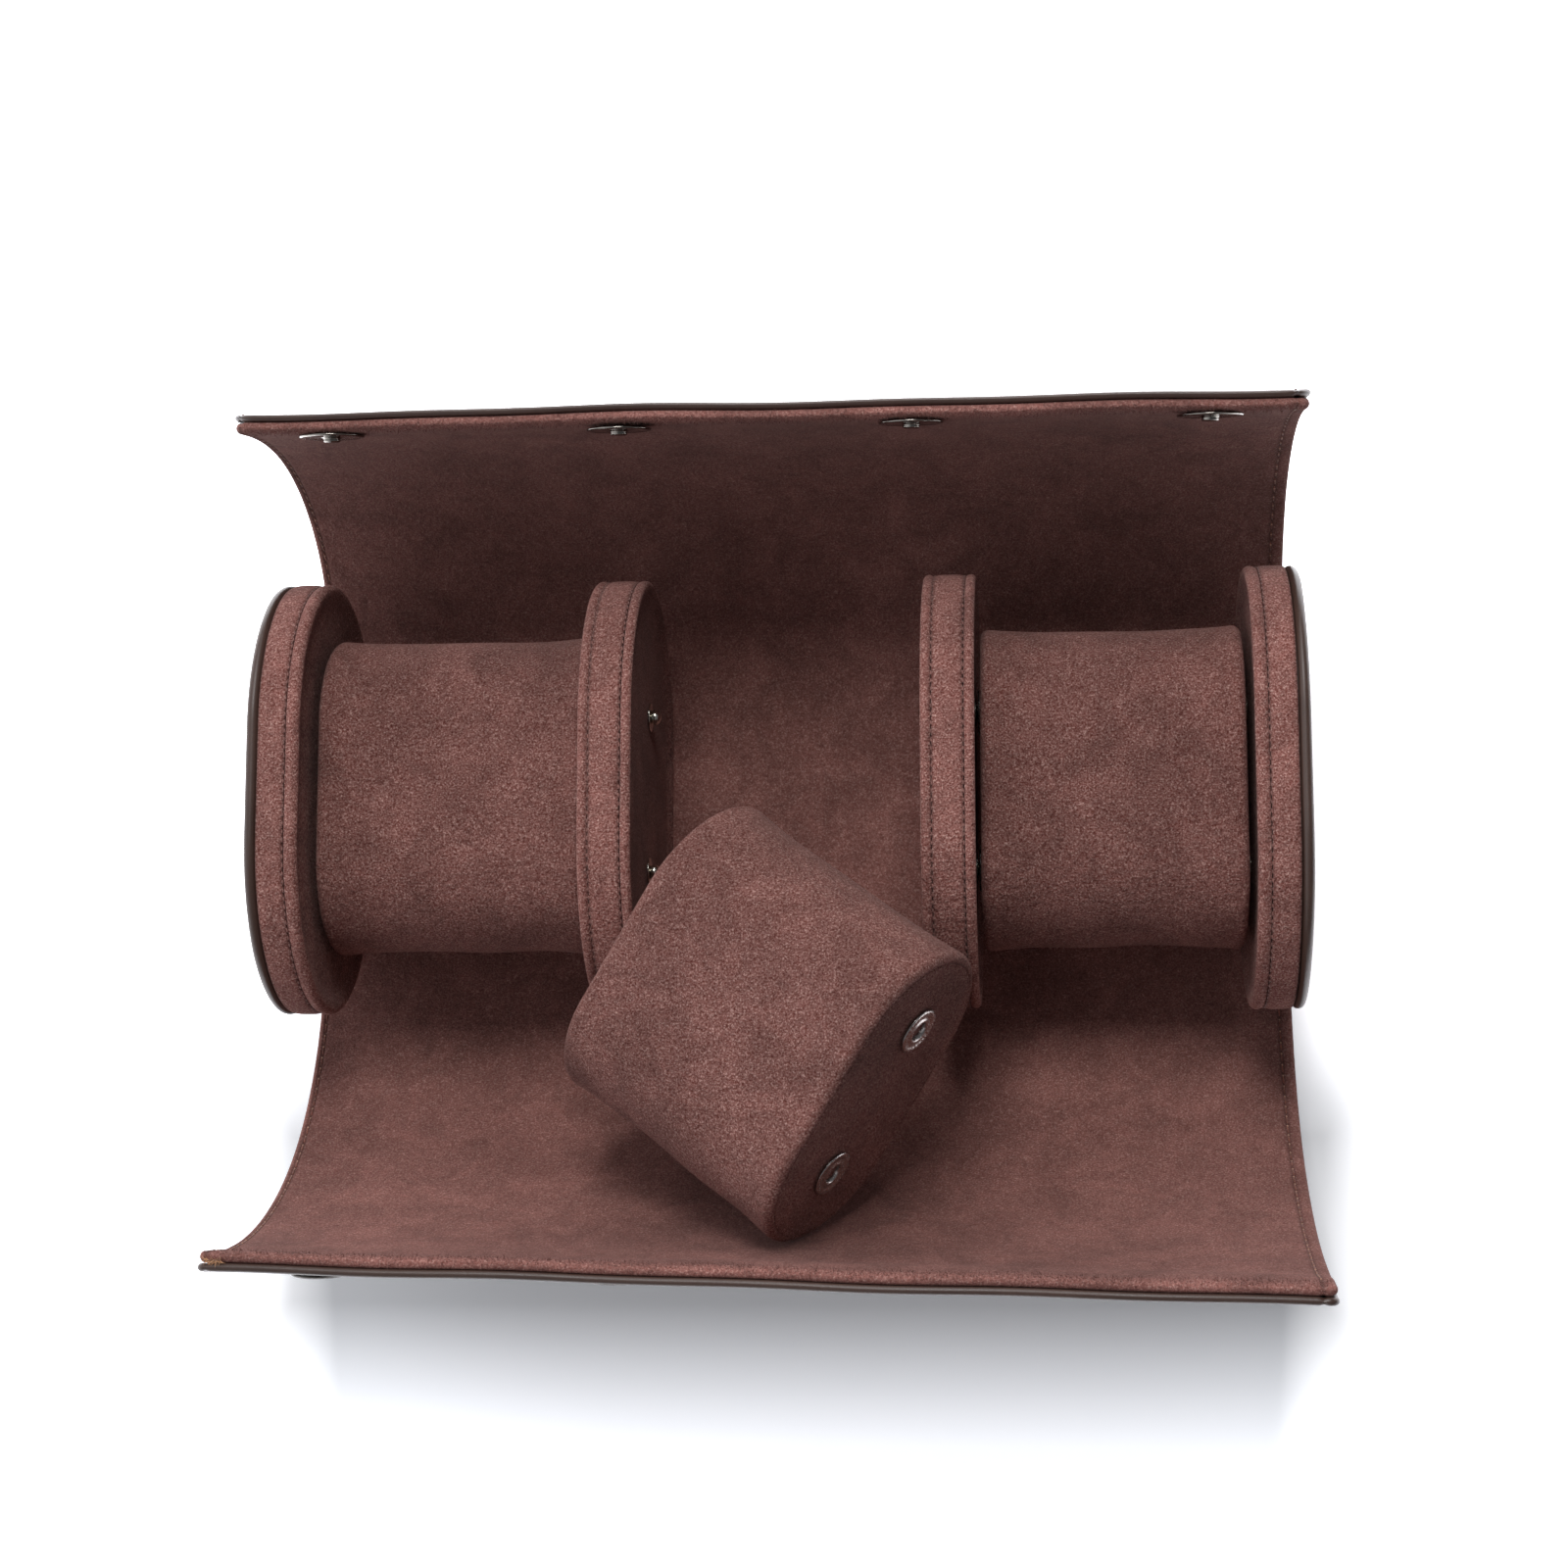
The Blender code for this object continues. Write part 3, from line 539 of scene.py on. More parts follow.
def fray_tree():
    """Loose fibres along a cut edge: thin curved spikes that point away from it at random."""
    found = bpy.data.node_groups.get("Frayed edge")
    if found:
        return found
    tree, given, result = new_tree("Frayed edge", [
        ("Spacing", "NodeSocketFloat", 0.0004), ("Fibre length", "NodeSocketFloat", 0.0007),
        ("Fibre width", "NodeSocketFloat", 0.0001), ("Curl", "NodeSocketFloat", 0.6),
        ("Spread", "NodeSocketFloat", 0.8), ("Scatter", "NodeSocketFloat", 0.0002),
        ("Seed", "NodeSocketInt", 1), ("Fibre", "NodeSocketMaterial", None)])
    ask = given.outputs
    path = add_node(tree, "GeometryNodeMeshToCurve", {"Mesh": ask["Geometry"]})
    places = add_node(tree, "GeometryNodeResampleCurve", {
        "Curve": path.outputs[0], "Length": ask["Spacing"]}, mode="LENGTH")
    strewn = add_node(tree, "FunctionNodeRandomValue", {
        "Min": (-1.0, -1.0, -1.0), "Max": (1.0, 1.0, 1.0), "Seed": ask["Seed"]}, data_type="FLOAT_VECTOR")
    shift = add_node(tree, "ShaderNodeVectorMath", {
        0: strewn.outputs["Value"], "Scale": ask["Scatter"]}, operation="SCALE")
    roots = add_node(tree, "GeometryNodeSetPosition", {
        "Geometry": places.outputs[0], "Offset": shift.outputs[0]})
    half = add_node(tree, "ShaderNodeMath", {0: ask["Fibre width"], 1: 0.5}, operation="MULTIPLY")
    spike = add_node(tree, "GeometryNodeMeshCone", {
        "Vertices": 3, "Side Segments": 4, "Radius Top": 0.0, "Radius Bottom": half.outputs[0],
        "Depth": ask["Fibre length"]})
    height = add_node(tree, "ShaderNodeSeparateXYZ", {
        0: add_node(tree, "GeometryNodeInputPosition").outputs[0]})
    part = add_node(tree, "ShaderNodeMath", {
        0: height.outputs["Z"], 1: ask["Fibre length"]}, operation="DIVIDE")
    bow = add_node(tree, "ShaderNodeMath", {0: part.outputs[0], 1: height.outputs["Z"]}, operation="MULTIPLY")
    bow = add_node(tree, "ShaderNodeMath", {0: bow.outputs[0], 1: ask["Curl"]}, operation="MULTIPLY")
    sideways = add_node(tree, "ShaderNodeCombineXYZ", {"X": bow.outputs[0]})
    curled = add_node(tree, "GeometryNodeSetPosition", {
        "Geometry": spike.outputs["Mesh"], "Offset": sideways.outputs[0]})
    away = add_node(tree, "GeometryNodeInputNamedAttribute", {"Name": "outwards"}, data_type="FLOAT_VECTOR")
    aimed = add_node(tree, "FunctionNodeAlignRotationToVector", {"Vector": away.outputs[0]}, axis="Z")
    other = add_node(tree, "ShaderNodeMath", {0: ask["Seed"], 1: 7.0}, operation="ADD")
    swing = add_node(tree, "FunctionNodeRandomValue", {
        "Min": (-1.0, -1.0, -3.9), "Max": (1.0, 1.0, 3.9), "Seed": other.outputs[0]},
        data_type="FLOAT_VECTOR")
    swung = add_node(tree, "ShaderNodeVectorMath", {
        0: swing.outputs["Value"], "Scale": ask["Spread"]}, operation="SCALE")
    turn = add_node(tree, "FunctionNodeEulerToRotation", {"Euler": swung.outputs[0]})
    laid = add_node(tree, "FunctionNodeRotateRotation", {
        "Rotation": aimed.outputs[0], "Rotate By": turn.outputs[0]}, rotation_space="LOCAL")
    uneven = add_node(tree, "FunctionNodeRandomValue", {
        "Min": (0.5, 0.5, 0.5), "Max": (1.25, 1.25, 1.25), "Seed": ask["Seed"]}, data_type="FLOAT_VECTOR")
    fibres = add_node(tree, "GeometryNodeInstanceOnPoints", {
        "Points": roots.outputs[0], "Instance": curled.outputs[0],
        "Rotation": laid.outputs[0], "Scale": uneven.outputs["Value"]})
    real = add_node(tree, "GeometryNodeRealizeInstances", {"Geometry": fibres.outputs[0]})
    smooth = add_node(tree, "GeometryNodeSetShadeSmooth", {"Geometry": real.outputs[0]})
    dressed = add_node(tree, "GeometryNodeSetMaterial", {
        "Geometry": smooth.outputs[0], "Material": ask["Fibre"]})
    tree.links.new(dressed.outputs[0], result.inputs[0])
    return tree


def bend_tree():
    """Bends flat sheets into the wrap.

    A point comes in as its place along the roll, its distance from the base's middle and its
    height over the lining's face. Past the flat base the sheet turns up, first quickly and
    then at an even rate, and the turns at the left and the right end differ.
    """
    found = bpy.data.node_groups.get("Bent wrap")
    if found:
        return found
    floats = [
        ("Length", WRAP_LENGTH), ("Thickness", WRAP_THICKNESS), ("Base half depth", BASE_HALF_DEPTH),
        ("Front flap", FRONT_FLAP_LENGTH), ("Rear flap", REAR_FLAP_LENGTH),
        ("Front turn left", FRONT_TURN[0]), ("Front turn right", FRONT_TURN[1]),
        ("Rear turn left", REAR_TURN[0]), ("Rear turn right", REAR_TURN[1]),
        ("Front early left", FRONT_EARLY_TURN[0]), ("Front early right", FRONT_EARLY_TURN[1]),
        ("Rear early left", REAR_EARLY_TURN[0]), ("Rear early right", REAR_EARLY_TURN[1])]
    sockets = [(label, "NodeSocketFloat", value) for label, value in floats]
    tree, given, result = new_tree("Bent wrap", [
        *sockets, ("Steps", "NodeSocketInt", 32), ("Cloth", "NodeSocketMaterial", None)])
    ask = given.outputs
    place = add_node(tree, "ShaderNodeSeparateXYZ", {
        0: add_node(tree, "GeometryNodeInputPosition").outputs[0]})
    half = add_node(tree, "ShaderNodeMath", {0: ask["Length"], 1: 0.5}, operation="MULTIPLY").outputs[0]
    start = add_node(tree, "ShaderNodeMath", {0: half, 1: -1.0}, operation="MULTIPLY").outputs[0]
    away = add_node(tree, "ShaderNodeMath", {0: place.outputs["Y"]}, operation="ABSOLUTE").outputs[0]
    front = add_node(tree, "FunctionNodeCompare", {
        "A": place.outputs["Y"], "B": 0.0}, data_type="FLOAT", operation="LESS_THAN").outputs[0]
    picked = {}
    for label in ("turn", "early"):
        ends = {}
        for flap in ("Front", "Rear"):
            ends[flap] = add_node(tree, "ShaderNodeMapRange", {
                "Value": place.outputs["X"], "From Min": start, "From Max": half,
                "To Min": ask[f"{flap} {label} left"], "To Max": ask[f"{flap} {label} right"]},
                clamp=False).outputs[0]
        picked[label] = add_node(tree, "GeometryNodeSwitch", {
            "Switch": front, "False": ends["Rear"], "True": ends["Front"]}, input_type="FLOAT").outputs[0]
    length = add_node(tree, "GeometryNodeSwitch", {
        "Switch": front, "False": ask["Rear flap"], "True": ask["Front flap"]}, input_type="FLOAT").outputs[0]
    side = add_node(tree, "GeometryNodeSwitch", {
        "Switch": front, "False": 1.0, "True": -1.0}, input_type="FLOAT").outputs[0]
    edge = add_node(tree, "ShaderNodeMath", {
        0: ask["Base half depth"], 1: length}, operation="ADD").outputs[0]
    share = add_node(tree, "ShaderNodeMapRange", {
        "Value": away, "From Min": ask["Base half depth"], "From Max": edge,
        "To Min": 0.0, "To Max": 1.0}).outputs[0]
    opened = tree.nodes.new("GeometryNodeRepeatInput")
    closed = tree.nodes.new("GeometryNodeRepeatOutput")
    opened.pair_with_output(closed)
    closed.repeat_items.new("FLOAT", "Depth")
    closed.repeat_items.new("FLOAT", "Height")
    tree.links.new(ask["Steps"], opened.inputs["Iterations"])
    counted = add_node(tree, "ShaderNodeMath", {
        0: opened.outputs["Iteration"], 1: 0.5}, operation="ADD").outputs[0]
    portion = add_node(tree, "ShaderNodeMath", {0: counted, 1: ask["Steps"]}, operation="DIVIDE").outputs[0]
    here = add_node(tree, "ShaderNodeMath", {0: share, 1: portion}, operation="MULTIPLY").outputs[0]
    bends = {}
    for label, point in (("step", here), ("end", share)):
        rest = add_node(tree, "ShaderNodeMath", {0: 1.0, 1: point}, operation="SUBTRACT").outputs[0]
        early = add_node(tree, "ShaderNodeMath", {
            0: picked["early"], 1: rest}, operation="MULTIPLY").outputs[0]
        both = add_node(tree, "ShaderNodeMath", {0: early, 1: picked["turn"]}, operation="ADD").outputs[0]
        bends[label] = add_node(tree, "ShaderNodeMath", {0: both, 1: point}, operation="MULTIPLY").outputs[0]
    for label, wave in (("Depth", "COSINE"), ("Height", "SINE")):
        part = add_node(tree, "ShaderNodeMath", {0: bends["step"]}, operation=wave).outputs[0]
        total = add_node(tree, "ShaderNodeMath", {
            0: opened.outputs[label], 1: part}, operation="ADD").outputs[0]
        tree.links.new(total, closed.inputs[label])
    tree.links.new(given.outputs["Geometry"], opened.inputs["Geometry"])
    tree.links.new(opened.outputs["Geometry"], closed.inputs["Geometry"])
    step = add_node(tree, "ShaderNodeMath", {0: share, 1: length}, operation="MULTIPLY").outputs[0]
    step = add_node(tree, "ShaderNodeMath", {0: step, 1: ask["Steps"]}, operation="DIVIDE").outputs[0]
    # What stands past a flap's edge, such as loose fibres, goes straight on.
    past = add_node(tree, "ShaderNodeMath", {0: away, 1: edge}, operation="SUBTRACT").outputs[0]
    past = add_node(tree, "ShaderNodeMath", {0: past, 1: 0.0}, operation="MAXIMUM").outputs[0]
    slope = add_node(tree, "ShaderNodeMath", {0: bends["end"]}, operation="SINE").outputs[0]
    rise = add_node(tree, "ShaderNodeMath", {0: bends["end"]}, operation="COSINE").outputs[0]
    flat = add_node(tree, "ShaderNodeMath", {
        0: away, 1: ask["Base half depth"]}, operation="MINIMUM").outputs[0]
    flat = add_node(tree, "ShaderNodeMath", {0: rise, 1: past, 2: flat}, operation="MULTIPLY_ADD").outputs[0]
    depth = add_node(tree, "ShaderNodeMath", {
        0: closed.outputs["Depth"], 1: step, 2: flat}, operation="MULTIPLY_ADD").outputs[0]
    depth = add_node(tree, "ShaderNodeMath", {0: depth, 1: side}, operation="MULTIPLY").outputs[0]
    base = add_node(tree, "ShaderNodeMath", {
        0: slope, 1: past, 2: ask["Thickness"]}, operation="MULTIPLY_ADD").outputs[0]
    height = add_node(tree, "ShaderNodeMath", {
        0: closed.outputs["Height"], 1: step, 2: base}, operation="MULTIPLY_ADD").outputs[0]
    tilt = add_node(tree, "ShaderNodeMath", {0: slope, 1: side}, operation="MULTIPLY").outputs[0]
    back = add_node(tree, "ShaderNodeMath", {0: tilt, 1: -1.0}, operation="MULTIPLY").outputs[0]
    upwards = add_node(tree, "ShaderNodeCombineXYZ", {"Y": back, "Z": rise}).outputs[0]
    lifted = add_node(tree, "ShaderNodeVectorMath", {
        0: upwards, "Scale": place.outputs["Z"]}, operation="SCALE").outputs[0]
    ground = add_node(tree, "ShaderNodeCombineXYZ", {
        "X": place.outputs["X"], "Y": depth, "Z": height}).outputs[0]
    target = add_node(tree, "ShaderNodeVectorMath", {0: ground, 1: lifted}, operation="ADD").outputs[0]
    moved = add_node(tree, "GeometryNodeSetPosition", {
        "Geometry": closed.outputs["Geometry"], "Position": target})
    real = add_node(tree, "GeometryNodeRealizeInstances", {"Geometry": moved.outputs[0]})
    dressed = add_node(tree, "GeometryNodeSetMaterial", {
        "Geometry": real.outputs[0], "Material": ask["Cloth"]})
    tree.links.new(dressed.outputs[0], result.inputs[0])
    return tree


def run_tree(made, tree, values):
    """Run a node tree on an object and keep what it makes as the object's plain mesh."""
    change = made.modifiers.new(tree.name, "NODES")
    change.node_group = tree
    sockets = {s.name: s.identifier for s in tree.interface.items_tree if s.in_out == "INPUT"}
    for label, value in values.items():
        change[sockets[label]] = value
    graph = bpy.context.evaluated_depsgraph_get()
    mesh = bpy.data.meshes.new_from_object(made.evaluated_get(graph), depsgraph=graph)
    made.modifiers.remove(change)
    old = made.data
    made.data = mesh
    bpy.data.meshes.remove(old)
    return made


def trace(name, paths, outwards, closed=False):
    """An object that holds only paths, each a chain of edges, with the direction away from the cloth."""
    points, edges = [], []
    for path in paths:
        first = len(points)
        points.extend(tuple(p) for p in path)
        edges.extend((i, i + 1) for i in range(first, len(points) - 1))
        if closed:
            edges.append((len(points) - 1, first))
    mesh = bpy.data.meshes.new(name)
    mesh.from_pydata(points, edges, [])
    field = mesh.attributes.new("outwards", "FLOAT_VECTOR", "POINT")
    field.data.foreach_set("vector", np.asarray(np.vstack(outwards), np.float32).ravel())
    made = bpy.data.objects.new(name, mesh)
    bpy.context.scene.collection.objects.link(made)
    return made


def sew(name, points, outwards, spacing, length, width, kind, seed, closed=True, slant=0.10):
    """One row of stitches along a path of points."""
    return run_tree(trace(name, [points], [outwards], closed), stitch_tree(), {
        "Spacing": spacing, "Stitch length": length, "Thread width": width,
        "Slant": slant, "Seed": seed, "Thread": finish_of(kind)})


# Wrap

def wrap_ripple(x, s):
    """Slow unevenness of both layers; nothing on the base, where the caps stand.

    A low ridge runs along the front flap, a finger's width inside its edge.
    """
    free = np.clip((np.abs(s) - BASE_HALF_DEPTH - 0.012) / 0.04, 0.0, 1.0)
    ripple = (
        0.00018 * np.sin(x * 61.0 + 0.6) * np.sin(s * 47.0 + 1.1)
        + 0.00014 * np.sin(x * 118.0 + s * 40.0 + 2.0)
        + 0.00010 * np.sin(x * 33.0 - s * 95.0 + 0.3)
    )
    from_front = s + BASE_HALF_DEPTH + FRONT_FLAP_LENGTH
    ridge_at = 0.0085 + 0.0014 * np.sin(x * 31.0 + 0.5)
    ridge = 0.00034 * np.exp(-((from_front - ridge_at) / 0.0027) ** 2) * (0.6 + 0.4 * np.sin(x * 47.0 + 1.9))
    dip = 0.00022 * np.exp(-((from_front - ridge_at - 0.0075) / 0.0036) ** 2)
    return free * ripple + ridge - dip


def edge_places(low, high, radius, near_step, near_reach, far_step):
    """Places across a sheet: round at both edges, fine near them and coarser between."""
    rounding = [radius * (1.0 - math.cos(math.radians(a))) for a in (0, 16, 32, 48, 64, 78, 90)]
    near = list(np.arange(radius + near_step, near_reach, near_step))
    start = rounding + near
    width = high - low
    middle = np.linspace(start[-1], width - start[-1], int((width - 2 * start[-1]) / far_step) + 2)
    places = start + list(middle[1:-1]) + [width - place for place in reversed(start)]
    return low + np.array(places)


def flat_sheet(name, kind, top, thickness, margin, corners, fine, coarse, seams, swells, roll):
    """A flat sheet with full round edges, before it is bent: x, distance, height over the lining's face.

    Corners are the rounding at the front and the rear flap. Seams are the distances of the left
    and the right seam from the sheet's side edges. Swells thicken the outer face along the front
    and the rear flap's edge, or thin it. The upper face rolls over towards those edges.
    """
    radius = thickness / 2
    half = WRAP_LENGTH / 2 - margin
    low = -(BASE_HALF_DEPTH + FRONT_FLAP_LENGTH) + margin
    high = BASE_HALF_DEPTH + REAR_FLAP_LENGTH - margin
    xs = edge_places(-half, half, radius, fine, 0.0050, coarse)
    ss = edge_places(low, high, radius, fine * 2, 0.0060, coarse)
    x, s = np.meshgrid(xs, ss, indexing="ij")
    from_x = half - np.abs(x)
    middle = (low + high) / 2
    from_s = (high - low) / 2 - np.abs(s - middle)
    front = s < middle
    corner = np.where(front, *corners)
    u = np.clip(1.0 - from_x / corner, 0.0, 1.0)
    v = np.clip(1.0 - from_s / corner, 0.0, 1.0)
    u2 = u * np.sqrt(1.0 - v * v / 2)
    v2 = v * np.sqrt(1.0 - u * u / 2)
    inside = (u > 0) & (v > 0)
    rim = np.where(inside, corner * (1.0 - np.sqrt(u2 * u2 + v2 * v2)), np.minimum(from_x, from_s))
    x = np.where(inside, np.sign(x) * (half - corner * (1.0 - u2)), x)
    s = np.where(inside, middle + np.sign(s - middle) * ((high - low) / 2 - corner * (1.0 - v2)), s)
    rim = np.clip(rim, 0.0, None)
    lift = np.sqrt(np.clip(radius ** 2 - np.clip(radius - rim, 0.0, None) ** 2, 0.0, None))
    inset = np.where(x < 0, seams[0], seams[1])
    groove = np.exp(-((half - np.abs(x) - inset) / SEAM_GROOVE_WIDTH) ** 2)
    turned_over = np.exp(-((from_s - radius) / 0.0034) ** 2) * (lift / radius)
    ripple = wrap_ripple(x, s)
    rolled = 1.0 - np.sqrt(1.0 - np.clip(1.0 - from_s / roll, 0.0, 1.0) ** 2) if roll else 0.0
    upper = top - np.maximum(radius - lift, radius * rolled) + ripple - SEAM_GROOVE_DEPTH * groove
    lower = top - radius - lift + ripple + 0.00022 * groove - np.where(front, *swells) * turned_over
    nx, ns = x.shape
    border = np.zeros((nx, ns), bool)
    border[0, :] = border[-1, :] = border[:, 0] = border[:, -1] = True
    index_up = np.arange(nx * ns).reshape(nx, ns)
    index_low = index_up.copy()
    index_low[~border] = nx * ns + np.arange((~border).sum())
    points = np.column_stack([x.ravel(), s.ravel(), upper.ravel()])
    under = np.column_stack([x[~border], s[~border], lower[~border]])
    faces = []
    for i in range(nx - 1):
        for j in range(ns - 1):
            faces.append((index_up[i, j], index_up[i + 1, j], index_up[i + 1, j + 1], index_up[i, j + 1]))
            faces.append((index_low[i, j], index_low[i, j + 1], index_low[i + 1, j + 1], index_low[i + 1, j]))
    faces = [tuple(int(k) for k in face) for face in faces]
    # Painted shade along the side seams' grooves.
    groove_shade = np.concatenate([groove.ravel(), np.zeros(len(under))])
    # Painted sheen in a band along the front and rear flap edges, and a paler strip along the side edges.
    painted_sheen_at_flaps = np.exp(-(from_s / np.where(front, *SHEEN_BAND_REACH)) ** 2)
    paler_at_sides = 0.7 * np.exp(-(from_x / 0.0011) ** 2)
    rubbed = np.maximum(painted_sheen_at_flaps, paler_at_sides)
    rubbed = np.concatenate([rubbed.ravel(), rubbed[~border]])
    return add_mesh(name, np.vstack([points, under]), faces, kind, groove_shade, rubbed)


def side_row(side, from_edge, height, trim):
    """Path of a side seam on the flat sheets, and the direction that is up from it."""
    low = -(BASE_HALF_DEPTH + FRONT_FLAP_LENGTH) + trim
    high = BASE_HALF_DEPTH + REAR_FLAP_LENGTH - SEAM_END
    s = np.linspace(low, high, 260)
    x = np.full_like(s, side * (WRAP_LENGTH / 2 - from_edge))
    return np.column_stack([x, s, height + wrap_ripple(x, s)])


def edge_rows(front, shares):
    """Paths along the lining's cut edge at a flap, at shares of its thickness, and their directions."""
    side = -1.0 if front else 1.0
    reach = BASE_HALF_DEPTH + (FRONT_FLAP_LENGTH if front else REAR_FLAP_LENGTH) - LINING_MARGIN
    radius = LINING_THICKNESS / 2
    half = WRAP_LENGTH / 2 - LINING_MARGIN - (0.0014 if front else 0.0030)
    paths, outwards = [], []
    for share in shares:
        angle = math.asin(1.0 - 2.0 * share)
        across = LINING_ROLL if angle > 0 else radius
        x = np.linspace(-half, half, 160)
        s = np.full_like(x, side * (reach - across * (1.0 - math.cos(angle)) - 0.00008))
        z = -radius + radius * math.sin(angle) + wrap_ripple(x, s) - 0.00004
        paths.append(np.column_stack([x, s, z]))
        tilt = math.atan2(math.sin(angle) * across, math.cos(angle) * radius)
        outwards.append(np.tile((0.0, side * (0.15 + math.cos(tilt)), math.sin(tilt)), (len(x), 1)))
    return paths, outwards


class MakeWrap(bpy.types.Operator):
    """Leather outer layer and suede lining of the wrap, with the seams down both sides"""

    bl_idname = "watch_roll.make_wrap"
    bl_label = "Wrap"

    def execute(self, context):
        sizes = context.scene.watch_roll_sizes
        bend = bend_tree()
        seams = (sizes.left_seam_inset, sizes.right_seam_inset)
        lining = flat_sheet(
            "wrap_lining", "rolled_microfibre_suede", 0.0, LINING_THICKNESS + 0.8 * SEAT_GAP, LINING_MARGIN,
            LINING_CORNERS, 0.0003, 0.0022, seams, (0.0, 0.0), LINING_ROLL)
        run_tree(lining, bend, {"Cloth": finish_of("rolled_microfibre_suede")})
        settle(outward(lining), "suede", "shell_lining")
        leather = flat_sheet(
            "wrap_leather", "waxed_smooth_leather", -LINING_THICKNESS - SEAT_GAP, LEATHER_THICKNESS, 0.0,
            LEATHER_CORNERS, 0.0004, 0.0026, [inset + LINING_MARGIN for inset in seams],
            (FRONT_SWELL, -sizes.shaving), 0.0)
        run_tree(leather, bend, {"Cloth": finish_of("waxed_smooth_leather")})
        settle(outward(leather), "leather", "shell_leather")
        self.add_side_seams(sizes, bend, seams)
        self.add_loose_fibres(sizes, bend)
        return {"FINISHED"}

    def add_side_seams(self, sizes, bend, seams):
        """Lockstitches inside and outside, and pale dots at the needle holes that are painted highlights."""
        pitch = sizes.side_stitch_spacing
        width = sizes.thread_width
        for side, label, inset in ((-1, "left", seams[0]), (1, "right", seams[1])):
            for part, height, length, thick, kind, slant, trim in (
                ("stitches_inside", -0.00022, pitch * 0.84, width, "russet_polyester_thread", 0.06, SEAM_END),
                # Pale dots at the needle holes: painted highlights on the seam.
                ("knots_inside", -0.00016, width * 1.1, width * 0.9, "pale_polyester_thread", 0.5,
                 SEAM_END + pitch / 2),
                ("stitches_outside", -WRAP_THICKNESS + 0.00024, pitch * 0.80, width,
                 "russet_polyester_thread", -0.06, SEAM_END),
            ):
                path = side_row(side, LINING_MARGIN + inset, height, trim)
                up = np.tile((0.0, 0.0, 1.0), (len(path), 1))
                name = f"{label}_side_{part}"
                row = sew(name, path, up, pitch, length, thick, kind, 3 + side, closed=False, slant=slant)
                run_tree(row, bend, {"Cloth": finish_of(kind)})
                settle(row, None)

    def add_loose_fibres(self, sizes, bend):
        """Nap that stands off the lining's cut edges, and frayed thread ends in the front left corner."""
        suede = finish_of("brushed_microfibre_suede")
        for front, label in ((True, "front"), (False, "rear")):
            paths, outwards = edge_rows(front, NAP_SHARES)
            row = run_tree(trace(f"{label}_edge_nap", paths, outwards), fray_tree(), {
                "Spacing": sizes.nap_spacing, "Fibre length": sizes.nap_length,
                "Fibre width": NAP_FIBRE_WIDTH,
                "Curl": 0.9, "Spread": 0.9, "Scatter": 0.00028, "Seed": 5 + front, "Fibre": suede})
            settle(run_tree(row, bend, {"Cloth": suede}), "suede")
        x = -WRAP_LENGTH / 2 + LINING_MARGIN
        s = -(BASE_HALF_DEPTH + FRONT_FLAP_LENGTH) + LINING_MARGIN
        path = [(x + 0.0016, s + 0.0002, -0.0023), (x + 0.0056, s, -0.0024)]
        away = np.tile((-0.3, -1.0, 0.0), (2, 1))
        thread = finish_of("frayed_orange_thread")
        tuft = run_tree(trace("corner_thread_ends", [path], [away]), fray_tree(), {
            "Spacing": 0.00010, "Fibre length": 0.0017, "Fibre width": 0.00034,
            "Curl": 0.6, "Spread": 1.1, "Scatter": 0.00035, "Seed": 12, "Fibre": thread})
        settle(run_tree(tuft, bend, {"Cloth": thread}), None)


# Caps and dividers

def panel_rings(shape, x, thickness, outwards, piping, seed):
    """Rings of a suede facing, and how rubbed each is: a puffed piping round a middle that lies lower."""
    count = len(outline(shape, 0.0))
    wave = slow_wave(count, seed, (3, 5, 9, 14), 0.00010)
    back = x - outwards * thickness
    rings = [
        ring_at(shape, back, 0.0022), ring_at(shape, back, 0.0010),
        ring_at(shape, back + outwards * 0.00015, 0.0004)]
    radius = thickness / 2
    for step in range(1, 13):
        angle = math.radians(-38.0 + 128.0 * step / 12)
        reach = radius * (1.0 - math.cos(angle))
        rings.append(ring_at(shape, x - outwards * radius * (1.0 - math.sin(angle)), reach * 0.95, wave))
    depths = (0.12, 0.32, 0.58, 0.80, 0.94, 1.0)
    for part, sink in enumerate(depths, 1):
        inset = radius + piping * part / len(depths)
        rings.append(ring_at(shape, x - outwards * PANEL_DISH * sink, inset, wave * (1 - sink)))
    rubbed = [1.0] * 14 + [0.7] + [0.0] * 12
    last = rings[-1]
    middle = np.array([last[0, 0], 0.0, CENTRE_HEIGHT])
    for scale in (0.90, 0.76, 0.60, 0.44, 0.28, 0.12):
        rings.append(middle + (last - middle) * np.array([1.0, scale, scale]))
    return rings, rubbed


def band_rings(shape, x_from, x_to, seed):
    """Rings of the suede band round a rim: crowned a little, and pinched down at both seams, with painted
    shade beside them.
    """
    count = len(outline(shape, 0.0))
    wave = slow_wave(count, seed, (4, 7, 11), 0.00006)
    steps = 14
    rings, groove_shade = [], []
    low, high = min(x_from, x_to), max(x_from, x_to)
    for step in range(steps + 1):
        part = step / steps
        edge = abs(2.0 * part - 1.0)
        drop = 0.00003 + 0.00036 * edge ** 4
        rings.append(ring_at(shape, low + (high - low) * part, drop, wave * (1 - edge)))
        # Painted shade that darkens the band next to each seam.
        groove_shade.append(np.full(count, 0.9 * max(0.0, edge - 0.80) / 0.20))
    for part in (1.0, 0.5, 0.0):
        rings.append(ring_at(shape, low + (high - low) * part, BAND_SINK + BAND_THICKNESS))
        groove_shade.append(np.zeros(count))
    return rings, groove_shade


def seam_path(shape, x, inset):
    """Points of a seam round a rim, with their outward directions."""
    flat = outline(shape, inset)
    normal = outline_normals(flat)
    points = np.column_stack([np.full(len(flat), x), flat[:, 0], flat[:, 1] + CENTRE_HEIGHT])
    return points, np.column_stack([np.zeros(len(flat)), normal[:, 0], normal[:, 1]])


